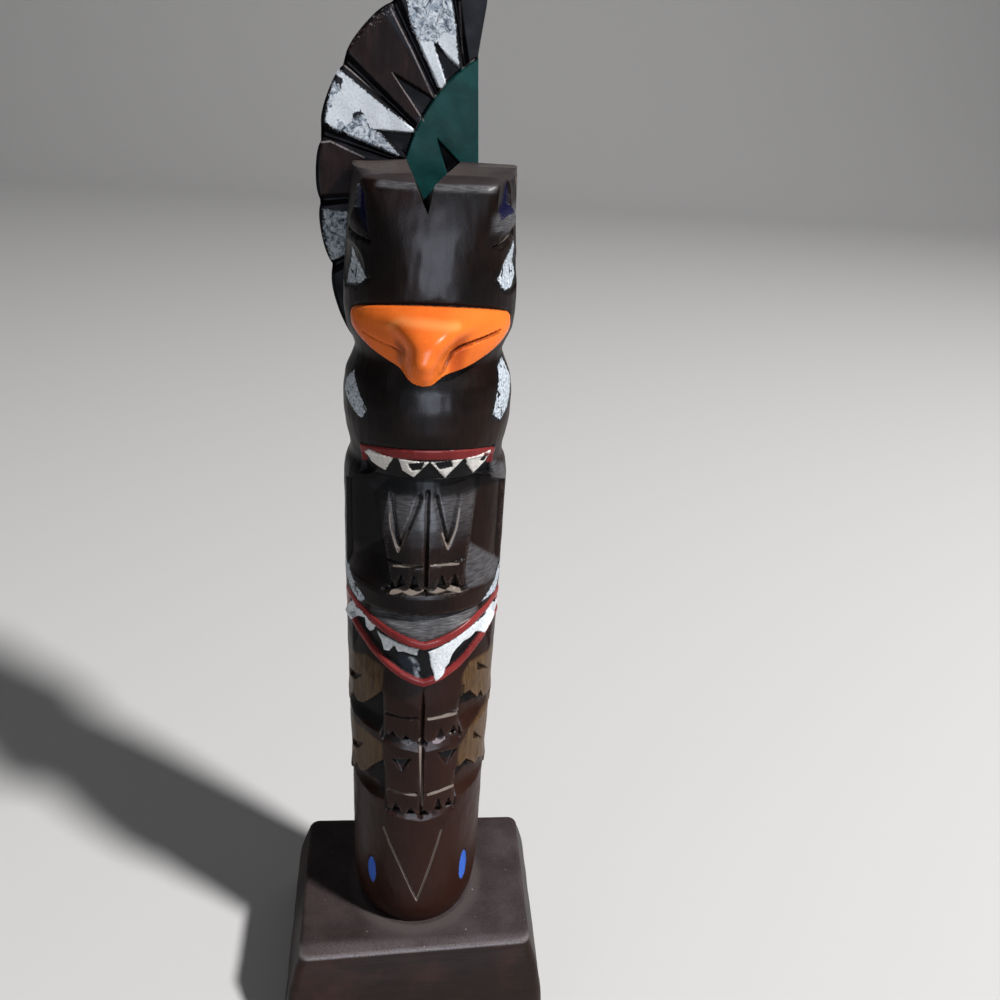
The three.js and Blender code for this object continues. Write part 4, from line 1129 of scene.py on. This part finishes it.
def pole_fields(mesh, stick, s):
    """Stores what the finish needs: distances in mm inside each paint, and shares of wear, of painted shade
    and of painted highlight.
    """
    scale_r = s.pole_radius / MM / DRAWN_RADIUS
    scale_h = s.pole_height / MM / DRAWN_HEIGHT
    points = vertices_of(mesh)
    x, y = points[:, 0] / scale_r, points[:, 1] / scale_r
    height = (points[:, 2] - lift_of(s)) / scale_h
    angle = np.degrees(np.arctan2(x, -y))
    u = arc(angle)
    away = np.abs(u)
    column = np.clip(np.searchsorted(stick.angles, angle), 0, len(stick.angles) - 1)
    row = np.clip(np.searchsorted(stick.heights, height), 0, len(stick.heights) - 1)

    def within(outlines):
        return mask_of(u, height, [unrolled(outline) for outline in outlines])

    def stroke(path, half):
        return half - path_distance(u, height, unrolled(path))[0]

    def between(low, high):
        return np.minimum(height - low, high - height)

    def band(low, low_end, high_end, high):
        return smooth(low, low_end, height) * smooth(high, high_end, height)

    ends = arc(MOUTH["half_angle"]) - away
    lip, top = mouth_line(angle, "lip", "lip_side"), mouth_line(angle, "top", "top_side")
    jaw = MOUTH["jaw"] - 1.2 * (angle / MOUTH["half_angle"]) ** 2
    upper_lip = np.minimum(between(lip - 0.1, top + 0.2), ends + 1)
    corner = least(away - arc(50.5), ends + 0.6, between(170, top + 0.2))
    snout, foot, lips = snout_top(angle), snout_foot(angle), SNOUT["lip"]
    reach = arc(86) - away
    lower_lips = np.maximum(between(snout - lips, snout + 0.25), between(foot - 0.2, foot + lips + 0.1))
    corners = np.minimum(between(foot, snout), away - arc(68))
    lower_lips = np.minimum(np.maximum(lower_lips, corners), reach)
    eyes = within(EYES)
    mouths = np.maximum(np.minimum(between(jaw, lip), ends),
                        np.minimum(between(foot + lips, snout - lips), reach))
    # Painted shade on the beak's flanks beside the nose.
    beside_nose = 0.6 * smooth(-15, -22, angle) + 0.8 * smooth(9, 12, angle) * smooth(24, 16, angle)
    ovals = [1.9 * (1 - np.hypot((u - arc(a)) / 1.9, (height - h) / (half - 0.6)))
             for a, h, half in OVALS]
    # Painted shadow goes under the chin, in the left of the hollow beside the paws and in the gaps under the
    # fins.
    under_chin = np.minimum(between(161.5, 168.4) * 0.5, arc(50) - away)
    beside_paws = least(between(143, 168) * 0.4, arc(-33) - u, u - arc(-70))
    gaps = [gap_inside(tier, angle, height) for tier in TIERS]
    warm = smooth(150, 60, height) * 0.6 + smooth(60, 20, height) * 0.3
    wall = np.hypot(x, y) < stick.radius[row, column] - 0.6

    # Painted highlight goes on the paws' tops, the scoop, the arm's top, the right brow, the ears' front
    # edges and the snout's top.
    wedge = smooth(0, 1.5, paw_inside(angle, height)) * band(148, 160, 162.5, 164.5)
    slope = least(between(snout, SNOUT["brow_foot"]), arc(44) - away)
    brow = band(228.6, 230, 232.5, 234) * smooth(36, 44, angle)
    ear_fronts = band(237.6, 238.4, 239.2, 239.7) * smooth(44, 38, np.abs(angle))
    flats = [smooth(-0.3, 1, within([outline])) * 0.8 for outline in (SCOOP, ARM_TOP)]
    greys = [wedge * 0.7, *flats, brow * 0.9, ear_fronts, smooth(-0.2, 1.4, slope)]
    fields = {
        "edge": stick.edge[row, column],
        "red": np.max([upper_lip, corner, lower_lips], axis=0),
        "black": np.max([mouths, eyes + 0.9, within(DARK_CHIPS)], axis=0),
        "beak": beak_inside(angle, height) + 0.25,
        "flank": smooth(209.5, 206, height) * beside_nose,
        "bridge": stroke(BRIDGE_HIGHLIGHT, 1.5) / 1.5,
        "eye": eyes,
        "tooth": np.minimum(within(UPPER_TEETH), -within(TOOTH_CHIPS)),
        "fang": within(LOWER_TEETH),
        "glint": within(GLINTS),
        "sheen": stroke(SHEEN, 1.1),
        "navy": within(EAR_WEDGES),
        "blue": np.maximum(*ovals),
        "fins": np.maximum(*[fin_inside(tier, angle, height) for tier in TIERS]),
        "gap": np.max([*gaps, under_chin, beside_paws], axis=0),
        "warm": warm + 0.3 * smooth(-30, 40, angle) * smooth(200, 180, height),
        "worn": 0.14 * smooth(170, 160, height),
        "chamfer": within(CHAMFERS),
        "dusty": smooth(239.1, 239.7, height) * 0.75,
        "grey": np.max(greys, axis=0),
        "pale_cut": np.max([stroke(*line) for line in PALE_STROKES], axis=0),
        "notch": np.where(wall & (height > 230), 1.0, 0.0),
        "scratches_and_sheen": smooth(0, 1.5, slope),
    }
    for name, values in fields.items():
        store(mesh, name, values)


class TOTEM_OT_pole(bpy.types.Operator):
    """Carves and paints the pole from one stick"""

    bl_idname = "totem.pole"
    bl_label = "Carve the pole"

    def execute(self, context):
        s, c = context.scene.totem_sizes, context.scene.totem_colours
        spacing = s.pole_grid / MM * 1
        stick = carved_stick(spacing)
        cells = max(int(round(EDGE_REACH / spacing)), 1)
        stick.edge = np.clip(stick.radius - blurred(stick.radius, cells), -1, 1)
        turn = np.radians(stick.angle)
        x, y = stick.radius * np.sin(turn), -stick.radius * np.cos(turn)
        rings = closed_off(np.stack([x, y, stick.height], -1), (0.985, 0.93, 0.8, 0.6, 0.4, 0.2))
        points, faces = stacked(rings, (0, 0, 0), (0, 0, DRAWN_HEIGHT))
        points[:, 2] += smooth(226, 240, points[:, 2]) * smooth(-18, -4, points[:, 0])
        points *= (s.pole_radius / MM / DRAWN_RADIUS,) * 2 + (s.pole_height / MM / DRAWN_HEIGHT,)
        points[:, 2] += lift_of(s)
        pole = new_piece("pole", points, faces, "totem_pole")
        thinned(pole, POLE_FACES)
        cutter = bpy.data.objects.new("notch_cutter", notch_cutter())
        cutter.location.z = lift_of(s) * MM
        context.scene.collection.objects.link(cutter)
        context.view_layer.update()
        with_modifier(pole, "BOOLEAN", operation="DIFFERENCE", solver="EXACT", object=cutter)
        bpy.data.objects.remove(cutter)
        pole_fields(pole.data, stick, s)
        shade(pole, crease=42)
        pole_finish(c).wear_on(pole)
        return {"FINISHED"}


# The fan's centre and radius, the shoulder's circle, and the point that the board's rings close in on.
FAN = {
    "x": 12.5, "height": 232.0, "radius": 42.0, "bulge": 0.6, "shoulder": (33.4, 230.5),
    "shoulder_radius": 41.4, "middle": (4.0, 224.0),
}
# Each feather's first and last angle, and how far it reaches past the fan's radius there.
FEATHERS = (
    (231, 208.5, 9.8, 2.6), (206, 184.6, 1.3, -0.1), (183, 163.5, -0.1, 0.9), (159, 139.5, 1.9, 4.2),
    (137, 118, 5.2, 8.1), (116, 100.5, 8.4, 10.2), (99.5, 94.5, 10.4, 11),
)
BOARD_CHIPS = (
    ((-13.8, 247.3), (-6.2, 241.6), (-3.4, 247)), ((-10.1, 260.6), (-2, 249.4), (2, 254.6)),
    ((0, 267.8), (3.8, 257.4), (8, 261.6)),
)
SHOULDER_CHIP = ((1.4, 246), (4.3, 237.4), (7.4, 240.6))
WHITE_FEATHERS = (
    ((-23.6, 260.9), (-21.2, 259.2), (-13.1, 253.6), (-4.4, 247.9), (-5.6, 246.6), (-9.1, 246.8),
     (-13.1, 247.3), (-15.9, 247.8), (-16.6, 250.1), (-18.1, 251.7), (-19.9, 250.9), (-20.1, 249),
     (-21.6, 248), (-23.6, 249.3), (-23.9, 246.9), (-25.6, 247.3), (-26.6, 249.1), (-26, 251),
     (-25, 252.4), (-24.7, 254.7), (-23, 255.7), (-22.2, 258.5), (-24.2, 259.6)),
    ((-4.9, 268.4), (-0.3, 268), (3.2, 259.8), (2.6, 258.2), (1, 258), (-1.6, 263.3)),
    ((-0.3, 267.6), (2.4, 270.2), (5.3, 269.5), (6.5, 262.6), (3.6, 264.8), (1, 268)),
)
SILVER_FEATHERS = (
    ((-20.1, 249.5), (-16.6, 251.1), (-15.9, 247.8), (-13.1, 246.6), (-8.3, 241.8), (-9.6, 240.6),
     (-13.1, 241.8), (-16.7, 244), (-20.2, 245.2), (-22.4, 246.6), (-25.6, 246), (-25.6, 249)),
    ((-6.7, 276.4), (-3.6, 277.6), (3.8, 278), (5.6, 269.5), (-0.5, 267.8), (-4.4, 268), (-5.9, 271.8)),
    ((-26.2, 214.4), (-28, 221), (-28, 227.4), (-22, 227), (-17, 224), (-17, 218), (-21, 214.6)),
    ((-24.6, 258), (-25.8, 254), (-26.8, 249), (-26, 248), (-24, 252), (-23, 257)),
)
BROWN_FEATHERS = (
    ((-21.4, 265), (-17.4, 270), (-12.4, 274), (0.8, 255.4), (-0.5, 253.4), (-5.2, 249.6), (-20.6, 264.6)),
    ((-28.4, 230.4), (-28.7, 238), (-28.2, 242.9), (-25.7, 243.5), (-14.8, 239.4), (-6, 236.4),
     (-6, 229), (-20, 229)),
)
PALE_LINES = (
    ((-28.2, 243.6), (-25.7, 243.9), (-17.2, 240.6)), ((-10.5, 274.2), (-5.4, 265.7), (0.1, 255.7)),
    ((-10.1, 260.6), (-6, 255.2), (-2.2, 250.2)), ((5.9, 277), (7.2, 266)), ((-22, 261.6), (-13, 255.2)),
)


def fan_point(angle, radius):
    turn = math.radians(angle)
    return (FAN["x"] + radius * math.cos(turn), FAN["height"] + radius * math.sin(turn))


def shoulder_inside(x, height):
    cx, cz = FAN["shoulder"]
    return FAN["shoulder_radius"] - np.hypot(x - cx, height - cz)


def feather_cuts():
    """The lines between feathers: inner and outer ends, and the outer width."""
    cuts = []
    for before, after in zip(FEATHERS, FEATHERS[1:]):
        angle = (before[1] + after[0]) / 2
        width = 1.0 + 0.36 * (before[1] - after[0])
        cuts.append((fan_point(angle - 4, 20), fan_point(angle, FAN["radius"] + after[2] + 3), width))
    return cuts


def board_rim(s):
    """The board's outline, as [x, height] points."""
    rim = []
    for start_angle, end_angle, start, end in FEATHERS:
        for t in np.linspace(0, 1, 25):
            radius = FAN["radius"] + mix(start, end, t) - FAN["bulge"] * (2 * t - 1) ** 4
            rim.append(fan_point(mix(start_angle, end_angle, t), radius))
    top = DRAWN_HEIGHT + s.board_rise / MM
    low = DRAWN_HEIGHT
    rim += [(11.4, top), (13, top - 1.4), (12.6, top - 8), (11, low + 26), (12.3, low + 1),
            (12, low - 42), (9, low - 46), (-16.5, low - 55)]
    return rim


def evenly_along(outline, count):
    points = np.array(list(outline) + [outline[0]], float)
    walked = np.concatenate([[0], np.cumsum(np.hypot(*np.diff(points, axis=0).T))])
    stops = np.linspace(0, walked[-1], count, endpoint=False)
    return np.stack([np.interp(stops, walked, points[:, i]) for i in (0, 1)], -1)


def board_depth(x, height, from_rim, s):
    """Depth in mm of the board's face below the shoulder's."""
    shoulder = shoulder_inside(x, height)
    feathers = smooth(0.25, -0.25, shoulder)
    groove = s.feather_groove / MM
    depth = s.feather_step / MM * feathers
    for inner, outer, width in feather_cuts():
        gap, share = path_distance(x, height, (inner, outer))
        half = mix(0.8, width, share)
        depth += groove * np.clip(1.25 * (1 - gap / half), 0, 1) * feathers
    for apex, left, right in BOARD_CHIPS + (SHOULDER_CHIP,):
        inside = outline_distance(x, height, (apex, left, right))
        way_x, way_z = (np.array(left) + right) / 2 - apex
        fall = ((x - apex[0]) * way_x + (height - apex[1]) * way_z) / (way_x ** 2 + way_z ** 2)
        here = feathers if (apex, left, right) in BOARD_CHIPS else 1 - feathers
        depth += groove * np.clip(0.35 + 0.75 * fall, 0, 1) * smooth(-0.2, 0.3, inside) * here
    depth += 0.7 * np.clip(1 - from_rim / 1.1, 0, 1) ** 2
    depth += 0.12 * (1 + waves(x, height, 11, 12, 4, 14))
    return np.minimum(depth, s.board_thickness / MM - 1.5)


def board_fields(mesh, s):
    points = vertices_of(mesh)
    x, height = points[:, 0], points[:, 2] - lift_of(s)
    deep = points[:, 1] - board_front(s)
    face = np.where(deep < s.board_thickness / MM - 1.2, FAR, -FAR)
    shoulder = shoulder_inside(x, height)
    gap = np.full(x.shape, FAR)
    for inner, outer, width in feather_cuts():
        found, share = path_distance(x, height, (inner, outer))
        gap = np.minimum(gap, found - mix(0.8, width, share) * 0.9)
    chips = -mask_of(x, height, BOARD_CHIPS)
    clear = least(gap, -shoulder, chips)
    lines = [path_distance(x, height, path)[0] for path in PALE_LINES]
    # A painted highlight along the shoulder's edge.
    shoulder_line = np.where(chips > 0, np.abs(shoulder + 0.1) + 0.05, FAR)
    rim = [fan_point(angle, FAN["radius"] + 6.4) for angle in np.linspace(136, 119, 8)]
    fields = {
        "white": least(mask_of(x, height, WHITE_FEATHERS), clear + 0.2, face),
        "silver": least(mask_of(x, height, SILVER_FEATHERS), clear + 0.2, face),
        "brown": np.minimum(mask_of(x, height, BROWN_FEATHERS), clear),
        "green": least(shoulder, -outline_distance(x, height, SHOULDER_CHIP), face),
        "line": np.minimum(0.18 - least(*lines, shoulder_line), face),
        "rim": np.minimum(1.6 - path_distance(x, height, rim)[0], face),
    }
    for name, values in fields.items():
        store(mesh, name, values)


class TOTEM_OT_wing(bpy.types.Operator):
    """Cuts the wing board and paints its feathers"""

    bl_idname = "totem.wing"
    bl_label = "Cut the wing board"

    def execute(self, context):
        s, c = context.scene.totem_sizes, context.scene.totem_colours
        coarse = 1
        rim = evenly_along(board_rim(s), BOARD_COLUMNS // coarse)
        middle = np.array(FAN["middle"])
        shares = np.linspace(0.02, 1, BOARD_RINGS // coarse)[:, None, None]
        flat = middle + (rim - middle) * shares
        from_rim = np.hypot(*(rim - middle).T) * (1 - shares[..., 0])
        front = board_front(s)
        back = front + s.board_thickness / MM
        depth = board_depth(flat[..., 0], flat[..., 1], from_rim, s)
        face = np.stack([flat[..., 0], front + depth, flat[..., 1]], -1)
        sides = [np.insert(rim, 1, y, axis=1) for y in np.linspace(front + 1.6, back - 0.5, 6)]
        rear = [np.insert(middle + (rim - middle) * 0.99 * share, 1, back, axis=1)
                for share in (1, 0.8, 0.5, 0.2)]
        centre_depth = front + float(depth[0].mean())
        ends = (middle[0], centre_depth, middle[1]), (middle[0], back, middle[1])
        points, faces = stacked(np.concatenate([face, sides, rear]), *ends)
        points[:, 2] += lift_of(s)
        board = new_piece("wing", points, [f[:, ::-1] for f in faces], "wing_board")
        thinned(board, BOARD_FACES)
        board_fields(board.data, s)
        shade(board, crease=40)
        board_finish(c).wear_on(board)
        return {"FINISHED"}


def block_ring(s, height, spread, inset):
    """One level of the block: straight sides and round corners."""
    steps, along = 9, np.linspace(0, 1, 27)[1:-1, None]
    front = s.block_front / MM / 2 + spread - inset
    back = s.block_back / MM / 2 + spread - inset
    middle, skew = -s.block_back_shift / MM, s.block_skew / MM
    half = s.block_depth / MM / 2 + spread - inset
    corners = ((front, middle - half + skew), (back, middle + half - skew / 2),
               (-back, middle + half + skew / 2), (-front, middle - half - skew))
    radius = max(s.block_corner / MM - inset / 2, 1)
    ring = []
    for corner, (x, y) in enumerate(corners):
        cx, cy = x - math.copysign(radius, x), y - math.copysign(radius, y)
        for i in range(steps + 1):
            turn = (corner - 1 + i / steps) * math.pi / 2
            ring.append((cx + radius * math.cos(turn), cy + radius * math.sin(turn), height))
    full = []
    for i, point in enumerate(ring):
        full.append(point)
        if i % (steps + 1) == steps:
            full += list(mix(np.array(point), np.array(ring[(i + 1) % len(ring)]), along))
    return full


class TOTEM_OT_block(bpy.types.Operator):
    """Shapes and stains the block under the pole"""

    bl_idname = "totem.block"
    bl_label = "Shape the block"

    def execute(self, context):
        s, c = context.scene.totem_sizes, context.scene.totem_colours
        top, edge, flare = s.block_height / MM, s.block_edge / MM, s.block_flare / MM
        levels = [(0, flare, 0.6), (0.3, flare, 0.16), (0.8, flare, 0)]
        for t in np.linspace(0, 1, 20)[1:-1]:
            levels.append((mix(0.8, top - edge, t), flare * (1 - t ** 2), 0))
        for turn in np.linspace(0, math.pi / 2, 9):
            levels.append((top - edge * (1 - math.sin(turn)), 0, edge * (1 - math.cos(turn))))
        rings = np.array([block_ring(s, *level) for level in levels])
        rings = closed_off(rings, np.linspace(0.97, 0.05, 26))
        worn = waves(rings[..., 0] + rings[..., 1], rings[..., 2] * 2 + rings[..., 1], 21, 12, 9, 40)
        rings[..., :2] *= (1 - 0.12 * np.clip(1 + worn, 0, 2) / 45)[..., None]
        sink = 0.1 * (1 + waves(rings[..., 0], rings[..., 1], 22, 12, 12, 40))
        rings[..., 2] -= np.where(rings[..., 2] > top - 0.4, sink * 0.6, 0)
        points, faces = stacked(rings, (0, 0, 0), (0, 0, top - 0.06))
        block = new_piece("block", points, faces, "base_block")
        _, y, height = vertices_of(block.data).T
        store(block.data, "top", smooth(top - 1.3, top - 0.2, height))
        # Where the painted highlight runs along the front top edge.
        from_edge = np.abs(height - top + 0.7)
        store(block.data, "painted_edge_highlight", smooth(1.1, 0.2, from_edge) * smooth(-22, -27, y))
        shade(block, crease=50)
        block_finish(c).wear_on(block)
        return {"FINISHED"}


# The photograph's camera: its place in mm, its lens in pixels of a 1000-pixel picture, and degrees.
VIEW = {
    "place": (-7.602, -218.82, 300.92), "focal_px": 860.0, "pitch": 26.45, "yaw": 7.56, "roll": 4.0,
}
FLOOR_GREY = 0.62
WORLD_LIGHT = 0.09
AIM = (0, 0, 0.17)
# Name, place in m, width in m, watts, colour, and whether it lights things up.
LAMPS = (
    ("key", (1.3, -0.9, 1.95), 0.22, 84.0, (1.0, 0.98, 0.97), True),
    ("gleam", (0.1, -1.6, 0.38), 0.9, 54.0, (0.76, 0.85, 1.0), False),
    ("fill", (-0.55, -0.4, 0.45), 0.25, 0.18, (0.95, 0.97, 1.0), True),
)


def photo_camera():
    pitch, yaw, roll = (math.radians(VIEW[k]) for k in ("pitch", "yaw", "roll"))
    ahead = np.array((math.sin(yaw) * math.cos(pitch), math.cos(yaw) * math.cos(pitch), -math.sin(pitch)))
    level = np.array((math.cos(yaw), -math.sin(yaw), 0))
    upward = np.cross(level, ahead)
    right = level * math.cos(roll) + upward * math.sin(roll)
    above = upward * math.cos(roll) - level * math.sin(roll)
    turn = Matrix((right, above, -ahead)).transposed().to_4x4()
    lens = bpy.data.cameras.new("camera")
    lens.sensor_width = 36
    lens.lens = 36 * VIEW["focal_px"] / 1000
    lens.clip_start = 0.01
    camera = bpy.data.objects.new("camera", lens)
    camera.matrix_world = Matrix.Translation([v * MM for v in VIEW["place"]]) @ turn
    return camera


def soft_light(name, place, width, watts, tint, lights_up):
    """A round lamp; one that doesn't light things up only gives highlights."""
    lamp = bpy.data.lights.new(name, "AREA")
    lamp.shape = "DISK"
    lamp.size = width
    lamp.energy = watts
    lamp.color = tint
    light = bpy.data.objects.new(name, lamp)
    way = np.array(AIM) - np.array(place)
    way = way / np.linalg.norm(way)
    side = np.cross(way, (0, 0, 1))
    side = side / np.linalg.norm(side)
    turn = Matrix((side, np.cross(side, way), -way)).transposed().to_4x4()
    light.matrix_world = Matrix.Translation(place) @ turn
    light.visible_diffuse = lights_up
    return light


class TOTEM_OT_stage(bpy.types.Operator):
    """Sets the floor, the lights and the camera"""

    bl_idname = "totem.stage"
    bl_label = "Set the stage"

    def execute(self, context):
        scene = context.scene
        turns = np.linspace(0, math.pi / 2, 25)
        curve = [(2000 + 1200 * math.sin(t), 1200 - 1200 * math.cos(t)) for t in turns]
        points = [(x, y, z) for y, z in [(-3000, 0), *curve, (3200, 4000)] for x in (-5000, 5000)]
        strips = len(curve) + 1
        faces = 2 * np.arange(strips)[:, None] + (0, 1, 3, 2)
        floor = bpy.data.objects.new("floor", mesh_from("floor", points, [faces]))
        floor.data.polygons.foreach_set("use_smooth", np.ones(strips, bool))
        grey = (FLOOR_GREY, FLOOR_GREY, FLOOR_GREY, 1)
        Finish("pale_floor", Base_Color=grey, Roughness=0.9, Specular_IOR_Level=0.1).wear_on(floor)
        scene.camera = photo_camera()
        for thing in (floor, scene.camera, *[soft_light(*lamp) for lamp in LAMPS]):
            scene.collection.objects.link(thing)
        scene.world = bpy.data.worlds.new("studio")
        scene.world.use_nodes = True
        background = scene.world.node_tree.nodes["Background"]
        background.inputs["Color"].default_value = (1, 1, 1, 1)
        background.inputs["Strength"].default_value = WORLD_LIGHT
        scene.view_settings.view_transform = "Standard"
        return {"FINISHED"}


class TOTEM_PT_panel(bpy.types.Panel):
    bl_idname = "TOTEM_PT_panel"
    bl_label = "Totem pole"
    bl_space_type = "VIEW_3D"
    bl_region_type = "UI"
    bl_category = "Totem pole"

    def draw(self, context):
        layout = self.layout
        for operator in OPERATORS:
            layout.operator(operator.bl_idname)
        for group in (context.scene.totem_sizes, context.scene.totem_colours):
            column = layout.column()
            for name in group.__annotations__:
                column.prop(group, name)


OPERATORS = (TOTEM_OT_block, TOTEM_OT_pole, TOTEM_OT_wing, TOTEM_OT_stage)
CLASSES = (TotemSizes, TotemColours, *OPERATORS, TOTEM_PT_panel)


def register():
    for kind in CLASSES:
        bpy.utils.register_class(kind)
    bpy.types.Scene.totem_sizes = bpy.props.PointerProperty(type=TotemSizes)
    bpy.types.Scene.totem_colours = bpy.props.PointerProperty(type=TotemColours)


def unregister():
    del bpy.types.Scene.totem_colours
    del bpy.types.Scene.totem_sizes
    for kind in reversed(CLASSES):
        bpy.utils.unregister_class(kind)


def main():
    register()
    bpy.ops.totem.block()
    bpy.ops.totem.pole()
    bpy.ops.totem.wing()
    bpy.ops.totem.stage()


if __name__ == "__main__":
    main()
